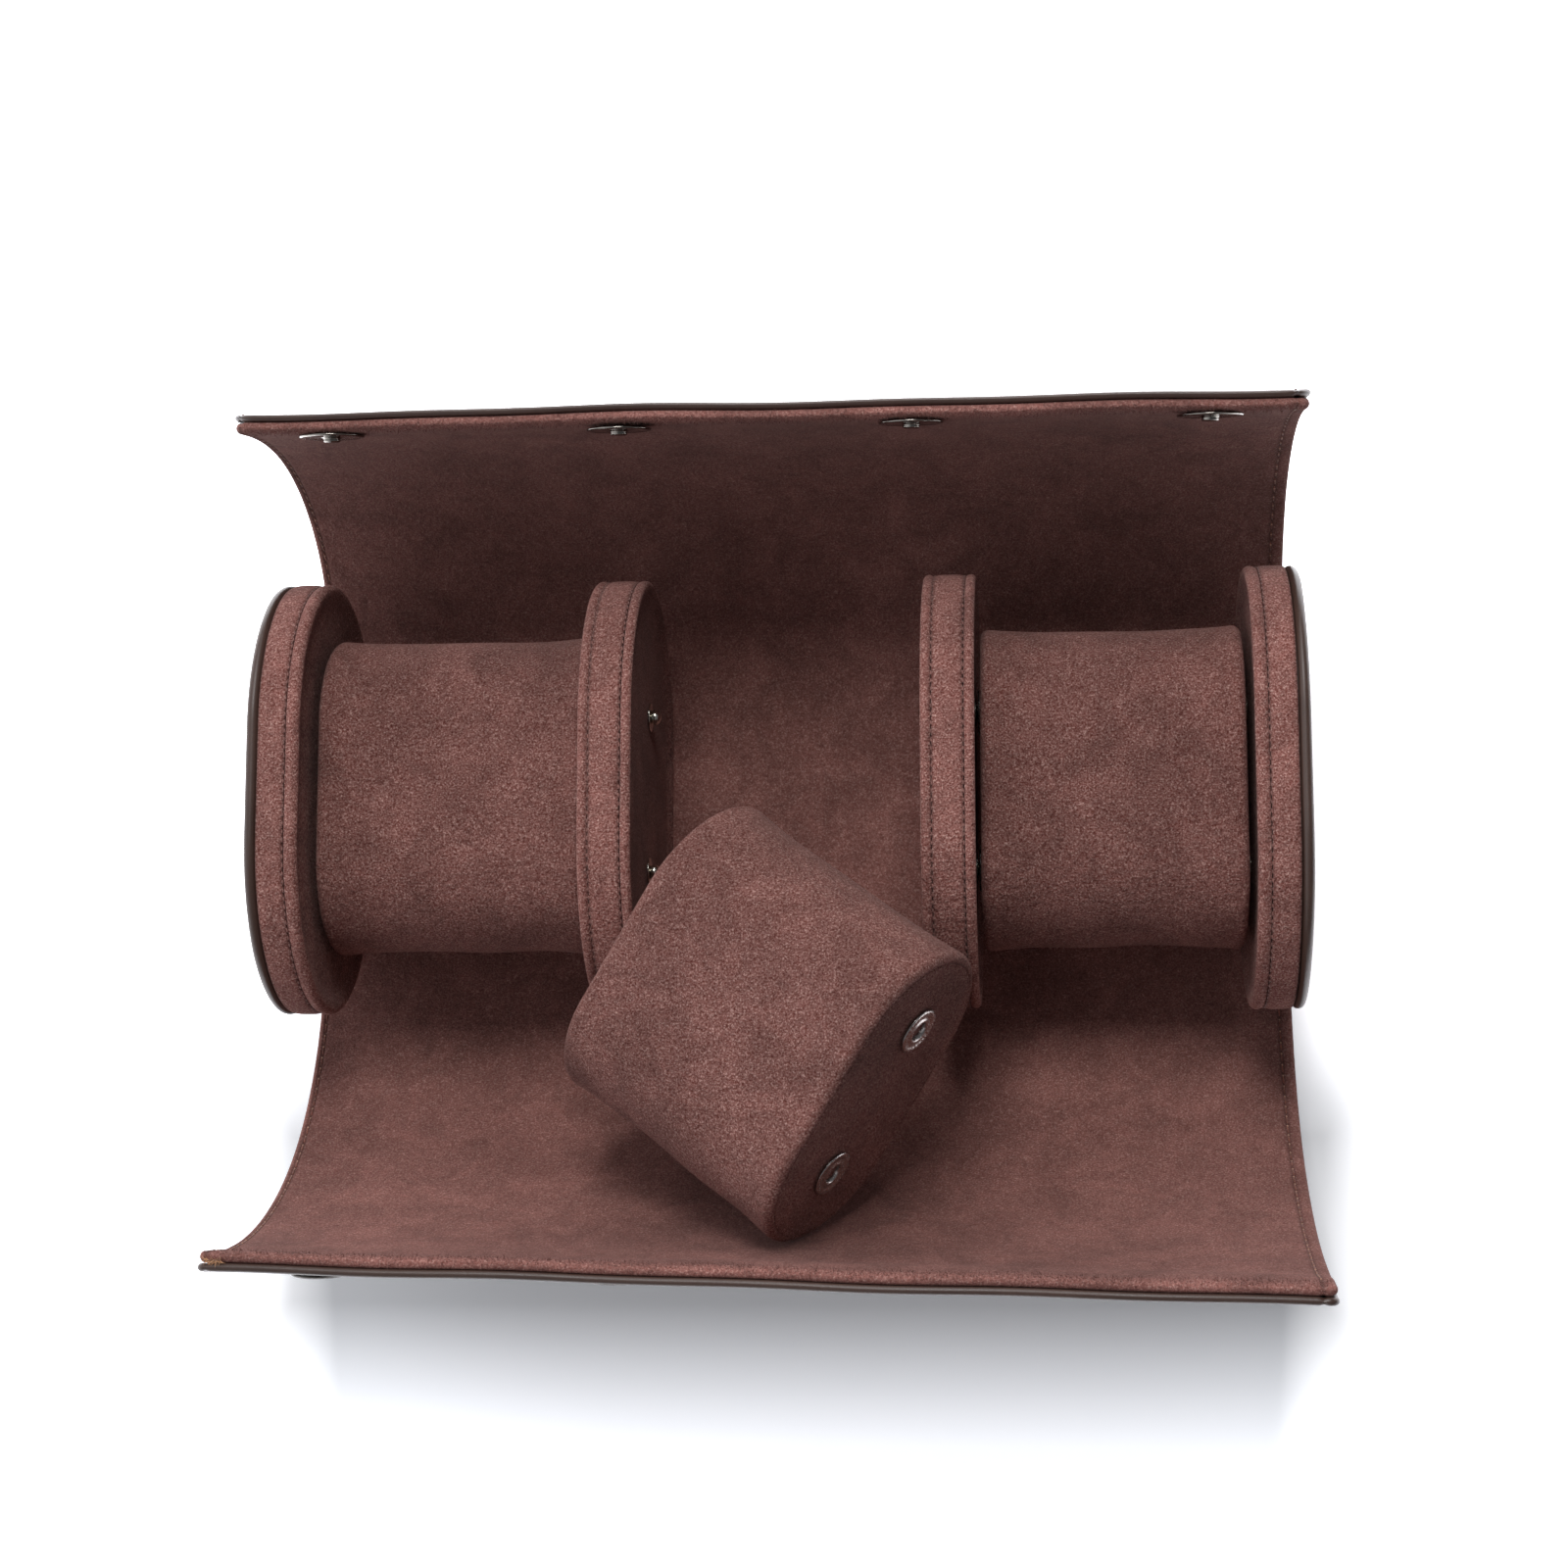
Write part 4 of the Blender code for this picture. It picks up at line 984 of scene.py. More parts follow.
def sew_rim(name, shape, x, sizes, seed):
    """The fine stitches that show in the groove beside a piping."""
    points, normals = seam_path(shape, x, 0.00036)
    row = sew(name, points, normals, sizes.rim_stitch_spacing, sizes.rim_stitch_spacing * 0.62,
              sizes.thread_width * 0.8, "brown_polyester_thread", seed)
    return settle(row, None)


def cover_rings(face, leather_in, out):
    """Rings of a cap's leather cover: rounded over its rim, a little uneven, and sunken in the middle."""
    count = len(outline(CAP_SHAPE, 0.0))
    wave = slow_wave(count, 11 + out, (2, 3, 5, 8), 0.00016)
    lean = slow_wave(count, 21 + out, (2, 3, 5), 0.00016)
    tucked = leather_in + out * 0.00005
    rings = [ring_at(CAP_SHAPE, tucked, 0.0030), ring_at(CAP_SHAPE, tucked, 0.0011)]
    radius = CAP_LEATHER_THICKNESS / 2
    for step in range(15):
        angle = math.radians(-80.0 + 170.0 * step / 14)
        x = face - out * radius * (1.0 - math.sin(angle))
        drop = radius * (1.0 - math.cos(angle)) * 1.15
        inner = max(0.0, -math.sin(angle))
        rings.append(ring_at(CAP_SHAPE, x - out * np.abs(lean) * (1 - inner), drop, -np.abs(wave)))
    rim_ring = rings[-1]
    middle = np.array([face, 0.0, CENTRE_HEIGHT])
    dips = (
        (0.93, 0.00018), (0.82, 0.00034), (0.66, 0.00046), (0.48, 0.00054), (0.30, 0.00058), (0.12, 0.0006))
    for scale, dip in dips:
        ring = middle + (rim_ring - middle) * np.array([0.0, scale, scale])
        rings.append(ring - np.array([out * dip, 0.0, 0.0]))
    return rings


class MakeCaps(bpy.types.Operator):
    """The two end caps: leather cover, suede band, suede facing and their seams"""

    bl_idname = "watch_roll.make_caps"
    bl_label = "End caps"

    def execute(self, context):
        sizes = context.scene.watch_roll_sizes
        for side, out in (("left", -1), ("right", 1)):
            face = out * BODY_LENGTH / 2
            leather_in = face - out * CAP_LEATHER_THICKNESS
            rim = face - out * CAP_THICKNESS
            rings = cover_rings(face, leather_in, out)
            settle(loft(f"{side}_cap_cover", rings, "waxed_smooth_leather"), "leather", f"{side}_cap_leather")
            band_from = leather_in - out * 0.00012
            band_to = rim + out * (CAP_PANEL_THICKNESS + 0.00012)
            rings, groove_shade = band_rings(CAP_SHAPE, band_from, band_to, 31 + out)
            rubbed = np.ones(np.size(groove_shade))
            strip = hoop(f"{side}_cap_rim", rings, "brushed_microfibre_suede", groove_shade, rubbed)
            settle(strip, "suede", f"{side}_cap_band")
            rings, rubbed = panel_rings(
                CAP_SHAPE, rim, CAP_PANEL_THICKNESS, -out, sizes.piping_width, 41 + out)
            facing = loft(f"{side}_cap_facing", rings, "brushed_microfibre_suede", rubbed)
            settle(facing, "suede", f"{side}_cap_panel")
            sew_rim(f"{side}_cap_stitches", CAP_SHAPE, band_to, sizes, 51 + out)
        return {"FINISHED"}


class MakeDividers(bpy.types.Operator):
    """The two dividers: suede band, a suede facing on each side and their seams"""

    bl_idname = "watch_roll.make_dividers"
    bl_label = "Dividers"

    def execute(self, context):
        sizes = context.scene.watch_roll_sizes
        for number, (side, centre) in enumerate(DIVIDER_CENTRES.items()):
            reach = DIVIDER_THICKNESS / 2
            band = reach - DIVIDER_PANEL_THICKNESS - 0.00012
            rings, groove_shade = band_rings(DIVIDER_SHAPE, centre - band, centre + band, 61 + number)
            rubbed = np.ones(np.size(groove_shade))
            strip = hoop(f"{side}_divider_rim", rings, "brushed_microfibre_suede", groove_shade, rubbed)
            settle(strip, "suede", f"{side}_divider_band")
            for face, out in (("left", -1), ("right", 1)):
                rim = centre + out * reach
                rings, rubbed = panel_rings(
                    DIVIDER_SHAPE, rim, DIVIDER_PANEL_THICKNESS, out, sizes.piping_width,
                    71 + number * 2 + out)
                settle(loft(f"{side}_divider_{face}_facing", rings, "brushed_microfibre_suede", rubbed),
                       "suede", f"{side}_divider_{face}_panel")
                sew_rim(
                    f"{side}_divider_{face}_stitches", DIVIDER_SHAPE, centre + out * band, sizes,
                    81 + number * 2 + out)
        return {"FINISHED"}


# Cushions

def cushion_body(name, length, sizes, seed):
    """Body of a cushion on its own axes, a little slack before it is filled.

    The suede is drawn over both ends and turned in round them, so each end is a shallow cup.
    """
    full = length / 2 - 0.00006
    turn = CUSHION_TURN
    ends = []
    for step in range(9):
        angle = math.radians(90.0 * step / 8)
        ends.append((full - turn * (1.0 - math.sin(angle)), turn * (1.0 - math.cos(angle))))
    ends += [
        (full - 0.00010, turn + 0.00016), (full - 0.00034, turn + 0.00024),
        (full - 0.00110, turn + 0.00026), (full - CUP_DEPTH, turn + 0.00030),
    ]
    inner = np.linspace(-ends[0][0], ends[0][0], 33)
    profile = [(-x, inset) for x, inset in reversed(ends)] + [(x, 0.0) for x in inner[1:-1]] + ends
    count = len(outline(CUSHION_SHAPE, 0.0))
    waves = [slow_wave(count, seed + i, (2, 3, 5, 7), 0.00022) for i in range(3)]
    edge_wave = slow_wave(count, seed + 5, (3, 4, 7, 11), 0.00010)
    rings = []
    for x, inset in profile:
        along = min(1.0, abs(x) / ends[0][0])
        slack = sizes.cushion_fill * (1.0 - along ** 4)
        uneven = sum(
            wave * math.sin(x * turns + phase)
            for wave, turns, phase in zip(waves, (70, 160, 240), (0.4, 1.9, 3.0)))
        ring = ring_at(CUSHION_SHAPE, x, inset, -slack + uneven * (1.0 - along ** 6) - 0.00012, 0.0)
        ring[:, 0] -= np.sign(x) * (edge_wave + 0.00006) * along ** 8
        rings.append(ring)
    first, last = rings[0], rings[-1]
    for scale in (0.92, 0.75, 0.5, 0.25):
        rings.insert(0, first * np.array([1.0, scale, scale]))
        rings.append(last * np.array([1.0, scale, scale]))
    return loft(name, rings, "brushed_microfibre_suede")


def fill_cushion(made, length, sizes):
    """Blow the cover out against its stiff ends with a cloth simulation, and keep the result."""
    held = made.vertex_groups.new(name="stiff ends")
    before = np.array([v.co for v in made.data.vertices])
    ends = [i for i, p in enumerate(before) if abs(p[0]) > length / 2 - CUP_DEPTH - 0.0004]
    held.add(ends, 1.0, "REPLACE")
    cloth = made.modifiers.new("Filled", "CLOTH")
    cloth.settings.use_pressure = True
    cloth.settings.uniform_pressure_force = 4.0
    cloth.settings.effector_weights.gravity = 0.0
    cloth.settings.vertex_group_mass = held.name
    cloth.settings.quality = 5
    for number in range(1, 21):
        bpy.context.scene.frame_set(number)
    graph = bpy.context.evaluated_depsgraph_get()
    after = np.array([v.co for v in made.evaluated_get(graph).data.vertices])
    made.modifiers.remove(cloth)
    bpy.context.scene.frame_set(1)
    move = after - before
    size = np.linalg.norm(move, axis=1, keepdims=True)
    move *= np.minimum(1.0, sizes.cushion_fill / np.maximum(size, 1e-9))
    made.data.vertices.foreach_set("co", (before + move).ravel())
    made.data.update()


def end_rings(x, out):
    """Rings of a cushion's stiff end, which sits in the cup with only a fold's width round it."""
    inset = CUSHION_TURN + 0.00036
    radius = 0.00035
    rings = [ring_at(CUSHION_SHAPE, x - out * (CUP_DEPTH - 0.0002), inset + 0.0010, 0.0, 0.0),
             ring_at(CUSHION_SHAPE, x - out * (CUP_DEPTH - 0.0002), inset + 0.0003, 0.0, 0.0),
             ring_at(CUSHION_SHAPE, x - out * (CUP_DEPTH - 0.0006), inset, 0.0, 0.0)]
    for step in range(7):
        angle = math.radians(90.0 * step / 6)
        rings.append(ring_at(CUSHION_SHAPE, x - out * (0.0001 + radius * (1.0 - math.sin(angle))),
                             inset + radius * (1.0 - math.cos(angle)), 0.0, 0.0))
    last = rings[-1]
    dips = ((0.95, 0.00004), (0.85, 0.0001), (0.70, 0.00016), (0.5, 0.0002), (0.3, 0.00022), (0.12, 0.00022))
    for scale, dip in dips:
        rings.append(last * np.array([1.0, scale, scale]) - np.array([out * dip, 0.0, 0.0]))
    return rings


class MakeCushions(bpy.types.Operator):
    """The three cushions, filled by simulation, each with two stiff ends"""

    bl_idname = "watch_roll.make_cushions"
    bl_label = "Cushions"

    def execute(self, context):
        sizes = context.scene.watch_roll_sizes
        half = DIVIDER_THICKNESS / 2
        cap_rim = BODY_LENGTH / 2 - CAP_THICKNESS
        bays = {
            "left": (-cap_rim, DIVIDER_CENTRES["left"] - half),
            "removed": (DIVIDER_CENTRES["left"] + half, DIVIDER_CENTRES["right"] - half),
            "right": (DIVIDER_CENTRES["right"] + half, cap_rim),
        }
        for seed, (name, (start, end)) in enumerate(bays.items(), 90):
            length = end - start - 2 * CUSHION_END_GAP
            place = Matrix.Translation(((start + end) / 2, 0.0, CENTRE_HEIGHT))
            if name == "removed":
                place = Matrix.Translation(REMOVED_PLACE) @ REMOVED_TURN.to_matrix().to_4x4()
            body = cushion_body(f"{name}_pad", length, sizes, seed)
            fill_cushion(body, length, sizes)
            body.data.transform(place)
            settle(body, "suede", f"{name}_cushion_body")
            for face, out in (("left", -1), ("right", 1)):
                end_piece = loft(
                    f"{name}_pad_{face}_end", end_rings(out * length / 2, out), "brushed_microfibre_suede")
                end_piece.data.transform(place)
                settle(end_piece, "suede", f"{name}_cushion_{face}_end")
                for row, near in (("front", -1), ("rear", 1)):
                    seat = place @ Matrix.Translation((out * length / 2, near * STUD_SPACING / 2, 0.0))
                    seat = seat @ Vector((out, 0, 0)).to_track_quat("Z", "Y").to_matrix().to_4x4()
                    socket = turned(
                        f"{name}_pad_{face}_press_socket_{row}", socket_profile(), "dark_gunmetal_plate",
                        seat, 96, 28)
                    settle(socket, "gunmetal", f"{name}_cushion_{face}_socket_{row}")
        return {"FINISHED"}


# Press studs

def turned(name, profile, kind, seat, segments=40, milled=0):
    """Turn a closed (radius, height, milling) profile about its own axis, then put it in place."""
    angle = np.linspace(0.0, 2.0 * math.pi, segments, endpoint=False)
    teeth = np.cos(angle * milled) if milled else np.zeros(segments)
    rings = []
    for radius, height, depth in profile:
        rings.append(np.column_stack([
            radius * np.cos(angle), radius * np.sin(angle), height + depth * teeth]))
    made = loft(name, rings, kind) if profile[0][0] < 1e-5 else hoop(name, rings, kind)
    made.data.transform(seat)
    made.data.update()
    return made


def stud_profile():
    """Flange, neck and ball of a cushion's press stud."""
    points = [
        (1e-6, 0.0), (0.0032, 0.0), (0.0034, 0.00012), (0.0034, 0.00028), (0.00325, 0.0004),
        (0.0029, 0.00043), (0.0026, 0.00034), (0.0020, 0.00036), (0.0015, 0.00046), (0.0013, 0.00065),
        (0.00128, 0.00085)]
    middle = 0.00126
    for step in range(1, 10):
        angle = math.radians(-46.0 + 136.0 * step / 9)
        points.append((max(1e-6, 0.0018 * math.cos(angle)), middle + 0.00144 * math.sin(angle)))
    return [(r, h, 0.0) for r, h in points]


def socket_profile():
    """Flange with a milled ring, a raised inner lip and the hole for the ball."""
    lip = METAL_GAP
    return [
        (1e-6, -0.0022, 0.0), (0.0029, -0.0022, 0.0), (0.0031, -0.0020, 0.0), (0.0031, lip, 0.0),
        (0.0051, lip, 0.0), (0.0054, lip + 0.00012, 0.0), (0.00535, lip + 0.00030, 0.0),
        (0.0051, lip + 0.00046, 0.00002), (0.0048, lip + 0.00052, 0.00007),
        (0.0045, lip + 0.00050, 0.00007), (0.0042, lip + 0.00036, 0.00002), (0.0038, lip + 0.00026, 0.0),
        (0.0033, lip + 0.00030, 0.0), (0.0030, lip + 0.00050, 0.0), (0.0027, lip + 0.00058, 0.0),
        (0.0024, lip + 0.00050, 0.0), (0.00215, lip + 0.00020, 0.0), (0.0021, -0.0006, 0.0),
        (0.0021, -0.0017, 0.0), (1e-6, -0.0018, 0.0)]


def flap_stud_profile():
    """Thin disc with a rolled rim and a low nub."""
    return [(r, h, 0.0) for r, h in (
        (1e-6, 0.0), (0.0069, 0.0), (0.00718, 0.00010), (0.00725, 0.00028), (0.0071, 0.00050),
        (0.0067, 0.00058), (0.0062, 0.00048), (0.0056, 0.00044), (0.0042, 0.00046), (0.0030, 0.00052),
        (0.0021, 0.00060), (0.00188, 0.00076), (0.00184, 0.00096), (0.0019, 0.00120), (0.00184, 0.00138),
        (0.0016, 0.00152), (0.0012, 0.00158), (0.0006, 0.00160), (1e-6, 0.00160))]


def flap_socket_profile():
    """Low ring that takes the nub, with a rounded rim."""
    return [(r, h, 0.0) for r, h in (
        (0.0022, 0.0), (0.0060, 0.0), (0.0062, 0.00012), (0.00625, 0.00036), (0.0061, 0.00060),
        (0.0057, 0.00084), (0.0052, 0.00100), (0.0046, 0.00108), (0.0036, 0.00110), (0.0030, 0.00104),
        (0.0025, 0.00103), (0.0022, 0.00094),
        (0.0022, 0.00048))]


def socket_from_edge():
    """Distance from the front flap's edge to its sockets, which meet the studs when the roll is shut."""
    across = CAP_DEPTH / 2 - CAP_FLAT_HALF
    up = CAP_HEIGHT / 2
    ellipse = math.pi * (3 * (across + up) - math.sqrt((3 * across + up) * (across + 3 * up)))
    lap = 2 * BASE_HALF_DEPTH + FRONT_FLAP_LENGTH + REAR_FLAP_LENGTH - ellipse - 4 * CAP_FLAT_HALF
    inner = (across + up) / 2
    return max(FLAP_STUD_FROM_EDGE, (lap - FLAP_STUD_FROM_EDGE) * inner / (inner + WRAP_THICKNESS))


def flap_station(front, x, from_edge):
    """Point on the lining's face near a flap's edge, and the direction outwards from it."""
    length = FRONT_FLAP_LENGTH if front else REAR_FLAP_LENGTH
    turns = FRONT_TURN if front else REAR_TURN
    earlies = FRONT_EARLY_TURN if front else REAR_EARLY_TURN
    along = (x + WRAP_LENGTH / 2) / WRAP_LENGTH
    turn = turns[0] + (turns[1] - turns[0]) * along
    early = earlies[0] + (earlies[1] - earlies[0]) * along
    share = 1.0 - from_edge / length
    parts = (np.arange(240) + 0.5) / 240 * share
    bends = turn * parts + early * parts * (1.0 - parts)
    depth = np.cos(bends).sum() / 240 * share * length
    height = np.sin(bends).sum() / 240 * share * length
    bend = turn * share + early * share * (1.0 - share)
    side = -1.0 if front else 1.0
    point = Vector((x, side * (BASE_HALF_DEPTH + depth), WRAP_THICKNESS + height))
    return point, Vector((0.0, side * math.sin(bend), -math.cos(bend)))


def facing(point, direction):
    """Matrix that puts a turned piece's base at a point, with its axis along a direction."""
    return Matrix.Translation(point) @ direction.to_track_quat("Z", "Y").to_matrix().to_4x4()


class MakeStuds(bpy.types.Operator):
    """The press studs of the dividers and caps, and the studs and sockets of the flaps"""

    bl_idname = "watch_roll.make_studs"
    bl_label = "Press studs"

    def execute(self, context):
        rim = BODY_LENGTH / 2 - CAP_THICKNESS
        half = DIVIDER_THICKNESS / 2
        faces = [("left_cap", -rim, 1), ("right_cap", rim, -1)]
        for side, centre in DIVIDER_CENTRES.items():
            faces += [
                (f"{side}_divider_left", centre - half, -1), (f"{side}_divider_right", centre + half, 1)]
        for prefix, x, out in faces:
            for row, near in (("front", -1), ("rear", 1)):
                point = Vector((x - out * (PANEL_DISH - METAL_GAP), near * STUD_SPACING / 2, CENTRE_HEIGHT))
                stud = turned(f"{prefix}_press_stud_{row}", stud_profile(), "polished_nickel_plate",
                              facing(point, Vector((out, 0, 0))))
                settle(stud, "nickel", f"{prefix}_stud_{row}")
        for number, share in enumerate(FLAP_STUD_SHARES, 1):
            x = share * WRAP_LENGTH
            point, out = flap_station(False, x, FLAP_STUD_FROM_EDGE)
            # The rear flap's studs take a darkened nickel, painted shade for their dark reflections.
            stud = turned(f"rear_flap_stud_{number}", flap_stud_profile(), "rubbed_nickel_plate",
                          facing(point - out * 0.00045, -out), 56)
            settle(stud, "nickel", f"flap_stud_{number}")
            point, out = flap_station(True, x, socket_from_edge())
            socket = turned(f"front_flap_socket_{number}", flap_socket_profile(), "blackened_gunmetal_plate",
                            facing(point + out * (WRAP_THICKNESS + SEAT_GAP), out), 56)
            settle(socket, "gunmetal", f"flap_socket_{number}")
        return {"FINISHED"}


class DressBoards(bpy.types.Operator):
    """Board finish for the stiff boards that the suede is stretched over"""

    bl_idname = "watch_roll.dress_boards"
    bl_label = "Boards"

    def execute(self, context):
        for name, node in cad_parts.items():
            if name.endswith("_core"):
                node.data.materials.clear()
                node.data.materials.append(finish_of("pressed_grey_board"))
        return {"FINISHED"}


# Stage

class MakeStage(bpy.types.Operator):
    """Pale floor, light from above, behind and the left, and the camera of the photograph"""

    bl_idname = "watch_roll.make_stage"
    bl_label = "Stage"

    def execute(self, context):
        stage = context.scene.watch_roll_stage
        self.add_floor(context, stage)
        self.add_room(context, stage)
        self.add_lamps(context, stage)
        self.add_camera(context)
        context.scene.view_settings.view_transform = "Standard"
        return {"FINISHED"}

    def add_floor(self, context, stage):
        """Pale paper; the camera sees it brighter than it lights the roll, as on an overexposed sweep."""
        made, tree = start_material("pale_paper_floor")
        path = add_node(tree, "ShaderNodeLightPath")
        place = add_node(tree, "ShaderNodeTexCoord")
        paper = add_node(tree, "ShaderNodeTexNoise", {
            "Vector": place.outputs["Object"], "Scale": 40.0, "Detail": 2.0})
        tone = add_node(tree, "ShaderNodeMapRange", {
            "Value": paper.outputs["Fac"], "From Min": 0.0, "From Max": 1.0, "To Min": 0.985, "To Max": 1.0})
        seen = add_node(tree, "ShaderNodeMath", {
            0: path.outputs["Is Camera Ray"], 1: path.outputs["Is Glossy Ray"]}, operation="MAXIMUM")
        # The camera sees the paper whiter still away from the front flap's shadow: painted light that fades
        # that shadow out within a few centimetres.
        spot = add_node(tree, "ShaderNodeVectorMath", {
            0: place.outputs["Object"], 1: SHADOW_MIDDLE}, operation="SUBTRACT")
        spot = add_node(tree, "ShaderNodeVectorMath", {0: spot.outputs[0]}, operation="ABSOLUTE")
        spot = add_node(tree, "ShaderNodeVectorMath", {
            0: spot.outputs[0], 1: SHADOW_HALF}, operation="SUBTRACT")
        spot = add_node(tree, "ShaderNodeVectorMath", {
            0: spot.outputs[0], 1: (0.0, 0.0, 0.0)}, operation="MAXIMUM")
        away = add_node(tree, "ShaderNodeVectorMath", {0: spot.outputs[0]}, operation="LENGTH")
        white = add_node(tree, "ShaderNodeMapRange", {
            "Value": away.outputs["Value"], "From Min": 0.0, "From Max": SHADOW_FADE,
            "To Min": stage.floor_gain, "To Max": stage.far_floor_gain})
        gain = add_node(tree, "ShaderNodeMapRange", {
            "Value": seen.outputs[0], "From Min": 0.0, "From Max": 1.0,
            "To Min": 1.0, "To Max": white.outputs[0]})
        level = add_node(tree, "ShaderNodeMath", {
            0: tone.outputs[0], 1: gain.outputs[0]}, operation="MULTIPLY")
        shade = add_node(tree, "ShaderNodeVectorMath", {
            0: PAPER_COLOUR, "Scale": level.outputs[0]}, operation="SCALE")
        diffuse = add_node(tree, "ShaderNodeBsdfDiffuse", {"Color": shade.outputs[0]})
        add_node(tree, "ShaderNodeOutputMaterial", {"Surface": diffuse.outputs[0]})
        mesh = bpy.data.meshes.new("floor")
        corners = [(x * FLOOR_HALF, y * FLOOR_HALF, 0) for x, y in ((-1, -1), (1, -1), (1, 1), (-1, 1))]
        mesh.from_pydata(corners, [], [(0, 1, 2, 3)])
        mesh.materials.append(made)
        floor = bpy.data.objects.new("floor", mesh)
        context.scene.collection.objects.link(floor)

    def add_room(self, context, stage):
        """A white backdrop for the camera, and soft light that is stronger from the left, as by a window."""
        world = bpy.data.worlds.new("soft room")
        world.use_nodes = True
        tree = world.node_tree
        tree.nodes.clear()
        path = add_node(tree, "ShaderNodeLightPath")
        seen = add_node(tree, "ShaderNodeMath", {
            0: path.outputs["Is Camera Ray"], 1: path.outputs["Is Transmission Ray"]}, operation="MAXIMUM")
        way = add_node(tree, "ShaderNodeTexCoord")
        left = add_node(tree, "ShaderNodeVectorMath", {
            0: way.outputs["Generated"], 1: (-1.0, 0.0, 0.0)}, operation="DOT_PRODUCT")
        left = add_node(tree, "ShaderNodeMath", {0: left.outputs["Value"], 1: 0.0}, operation="MAXIMUM")
        strength = add_node(tree, "ShaderNodeMath", {
            0: left.outputs[0], 1: stage.left_light, 2: stage.room_light}, operation="MULTIPLY_ADD")
        room = add_node(tree, "ShaderNodeBackground", {
            "Color": ROOM_COLOUR, "Strength": strength.outputs[0]})
        plain = add_node(tree, "ShaderNodeBackground", {"Color": (1.0, 1.0, 1.0, 1.0), "Strength": 1.0})
        mixed = add_node(tree, "ShaderNodeMixShader", {
            0: seen.outputs[0], 1: room.outputs[0], 2: plain.outputs[0]})
        add_node(tree, "ShaderNodeOutputWorld", {"Surface": mixed.outputs[0]})
        context.scene.world = world

    def add_lamps(self, context, stage):
        """A large lamp above and behind the roll, and a weaker one lower down."""
        for name, place, power in (
            ("key", KEY_PLACE, stage.key_power),
            ("low_light", LOW_LIGHT_PLACE, stage.low_power),
        ):
            light = bpy.data.lights.new(name, "AREA")
            light.shape = "RECTANGLE"
            light.size = LAMP_SIZE
            light.size_y = LAMP_SIZE
            light.energy = power
            lamp = bpy.data.objects.new(name, light)
            context.scene.collection.objects.link(lamp)
            lamp.location = place
            lamp.rotation_euler = (Vector(LAMP_TARGET) - Vector(place)).to_track_quat("-Z", "Y").to_euler()

    def add_camera(self, context):
        """The camera that was fitted to the photograph."""
        camera = bpy.data.cameras.new("camera")
        camera.lens = CAMERA_LENS
        camera.sensor_width = CAMERA_SENSOR
        camera.clip_start = 0.01
        eye = bpy.data.objects.new("camera", camera)
        context.scene.collection.objects.link(eye)
        eye.location = CAMERA_PLACE
        eye.rotation_euler = CAMERA_TURN
        context.scene.camera = eye


# Settings and panel

class RollSizes(bpy.types.PropertyGroup):
    """Sizes of the sewing and filling"""

    left_seam_inset: FloatProperty(
        name="Left seam inset", description="From the lining's left edge to its seam",
        default=0.0018, unit="LENGTH", precision=5)
    right_seam_inset: FloatProperty(
        name="Right seam inset", description="From the lining's right edge to its seam",
        default=0.0030, unit="LENGTH", precision=5)
    side_stitch_spacing: FloatProperty(
        name="Side stitch spacing", description="From one side stitch to the next",
        default=0.0029, unit="LENGTH", precision=5)
    rim_stitch_spacing: FloatProperty(
        name="Rim stitch spacing", description="From one rim stitch to the next",
        default=0.0019, unit="LENGTH", precision=5)
    thread_width: FloatProperty(
        name="Thread width", description="Width of the side seams' thread",
        default=0.00045, unit="LENGTH", precision=5)
    shaving: FloatProperty(
        name="Shaving", description="How much thinner the leather is shaved along the rear edge",
        default=0.0004, unit="LENGTH", precision=5)
    nap_spacing: FloatProperty(
        name="Nap spacing", description="From one loose fibre of the lining's edge to the next",
        default=0.00055, unit="LENGTH", precision=5)
    nap_length: FloatProperty(
        name="Nap length", description="Length of the loose fibres on the lining's edge",
        default=0.0007, unit="LENGTH", precision=5)
    piping_width: FloatProperty(
        name="Piping width", description="From a facing's piping to its sunken middle",
        default=0.0050, unit="LENGTH", precision=5)
    cushion_fill: FloatProperty(
        name="Cushion fill", description="How far the filling swells a cushion's middle",
        default=0.0008, unit="LENGTH", precision=5)


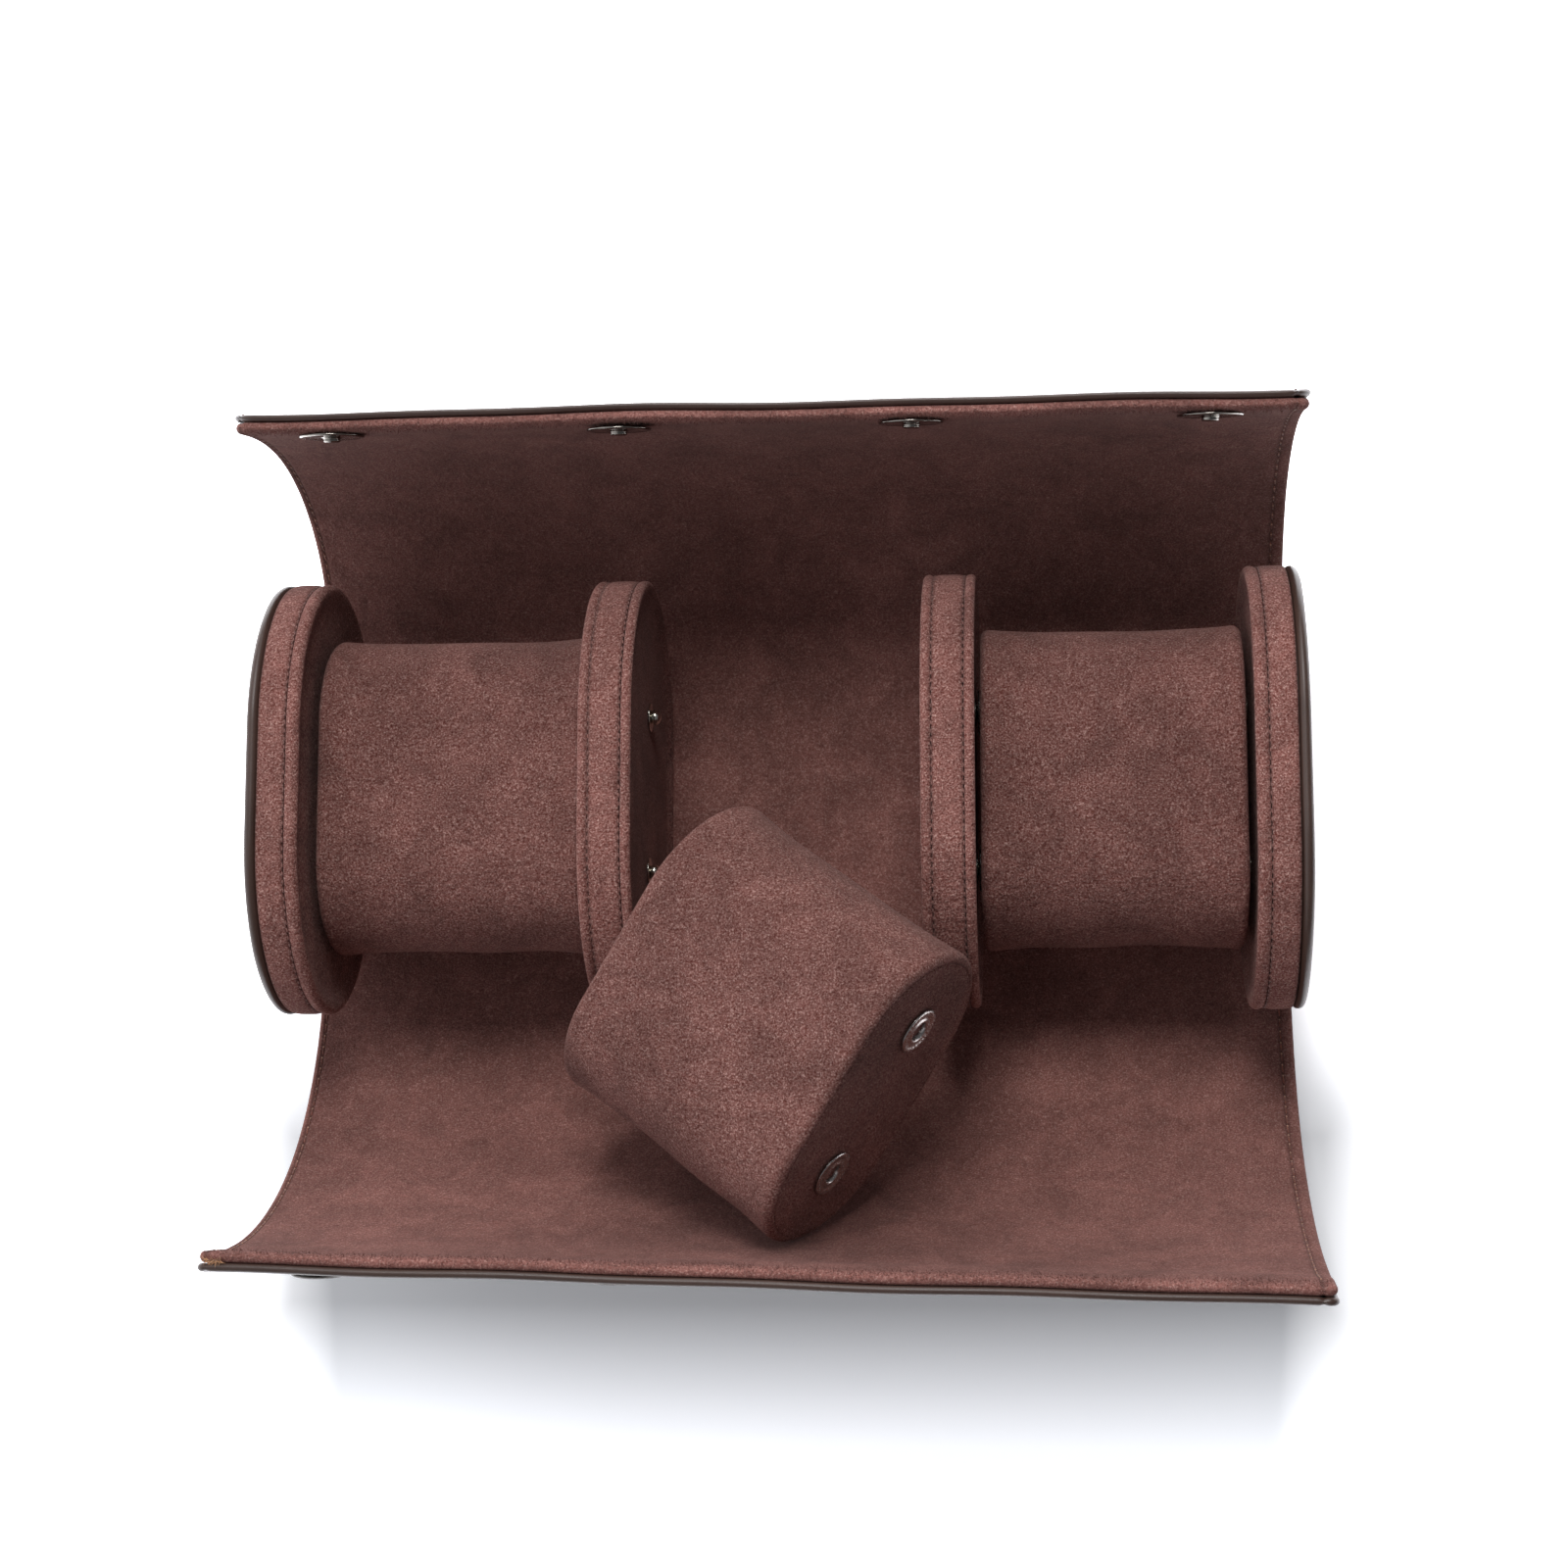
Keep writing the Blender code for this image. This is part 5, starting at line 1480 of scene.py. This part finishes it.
class RollColours(bpy.types.PropertyGroup):
    """Colours of the materials"""

    suede: FloatVectorProperty(
        name="Suede", description="Lining, caps, dividers and cushions",
        subtype="COLOR", size=4, min=0.0, max=1.0, default=from_hex("835a53"))
    leather: FloatVectorProperty(
        name="Leather", description="Outer layer and cap covers",
        subtype="COLOR", size=4, min=0.0, max=1.0, default=from_hex("47342d"))
    nickel: FloatVectorProperty(
        name="Nickel", description="Studs that hold the cushions",
        subtype="COLOR", size=4, min=0.0, max=1.0, default=from_hex("d6d2c9"))
    # Nickel of the rear flap's studs, darkened as painted shade for their dark reflections.
    flap_nickel: FloatVectorProperty(
        name="Flap nickel", description="Duller studs of the rear flap",
        subtype="COLOR", size=4, min=0.0, max=1.0, default=from_hex("8c8781"))
    gunmetal: FloatVectorProperty(
        name="Gunmetal", description="Sockets in the cushions",
        subtype="COLOR", size=4, min=0.0, max=1.0, default=from_hex("aea7a4"))
    flap_gunmetal: FloatVectorProperty(
        name="Flap gunmetal", description="Darker sockets of the front flap",
        subtype="COLOR", size=4, min=0.0, max=1.0, default=from_hex("4a4643"))
    side_thread: FloatVectorProperty(
        name="Side thread", description="Thread of the wrap's side seams",
        subtype="COLOR", size=4, min=0.0, max=1.0, default=from_hex("7a4434"))
    # Colour of the pale dots at the side seams' needle holes, which are painted highlights.
    knot_thread: FloatVectorProperty(
        name="Knot thread", description="Other thread of the side seams, at the holes",
        subtype="COLOR", size=4, min=0.0, max=1.0, default=from_hex("b88d76"))
    loose_thread: FloatVectorProperty(
        name="Loose thread", description="Frayed ends in the front left corner",
        subtype="COLOR", size=4, min=0.0, max=1.0, default=from_hex("dca679"))
    rim_thread: FloatVectorProperty(
        name="Rim thread", description="Thread of the cap and divider seams",
        subtype="COLOR", size=4, min=0.0, max=1.0, default=from_hex("80524a"))
    board: FloatVectorProperty(
        name="Board", description="Stiff boards inside caps and dividers",
        subtype="COLOR", size=4, min=0.0, max=1.0, default=from_hex("8a7d6c"))


class RollStage(bpy.types.PropertyGroup):
    """Light and floor"""

    key_power: FloatProperty(
        name="Key light", description="Power of the light above and behind",
        default=9.2, unit="POWER")
    low_power: FloatProperty(
        name="Low light", description="Power of the low light behind",
        default=3.4, unit="POWER")
    room_light: FloatProperty(
        name="Room light", description="Strength of the light from all round",
        default=0.17)
    left_light: FloatProperty(
        name="Left light", description="Strength of the room light from the left",
        default=1.23)
    floor_gain: FloatProperty(
        name="Floor gain", description="How much brighter the camera sees the floor in front",
        default=1.85)
    far_floor_gain: FloatProperty(
        name="Far floor gain", description="The same, further from the roll",
        default=5.3)


class RollPanel(bpy.types.Panel):
    """Lists the steps that build the roll, and its settings"""

    bl_idname = "VIEW3D_PT_watch_roll"
    bl_label = "Watch roll"
    bl_space_type = "VIEW_3D"
    bl_region_type = "UI"
    bl_category = "Watch roll"

    def draw(self, context):
        for made in OPERATORS:
            self.layout.operator(made.bl_idname)
        scene = context.scene
        for group in (scene.watch_roll_sizes, scene.watch_roll_colours, scene.watch_roll_stage):
            box = self.layout.box()
            for name in group.__annotations__:
                box.prop(group, name)


OPERATORS = (MakeStage, MakeWrap, MakeCaps, MakeDividers, MakeCushions, MakeStuds, DressBoards)
CLASSES = (RollSizes, RollColours, RollStage, *OPERATORS, RollPanel)


def register():
    for made in CLASSES:
        bpy.utils.register_class(made)
    bpy.types.Scene.watch_roll_sizes = PointerProperty(type=RollSizes)
    bpy.types.Scene.watch_roll_colours = PointerProperty(type=RollColours)
    bpy.types.Scene.watch_roll_stage = PointerProperty(type=RollStage)


def unregister():
    del bpy.types.Scene.watch_roll_stage
    del bpy.types.Scene.watch_roll_colours
    del bpy.types.Scene.watch_roll_sizes
    for made in reversed(CLASSES):
        bpy.utils.unregister_class(made)


def main():
    """Build the roll."""
    register()
    for made in OPERATORS:
        group, name = made.bl_idname.split(".")
        getattr(getattr(bpy.ops, group), name)()


if __name__ == "__main__":
    main()
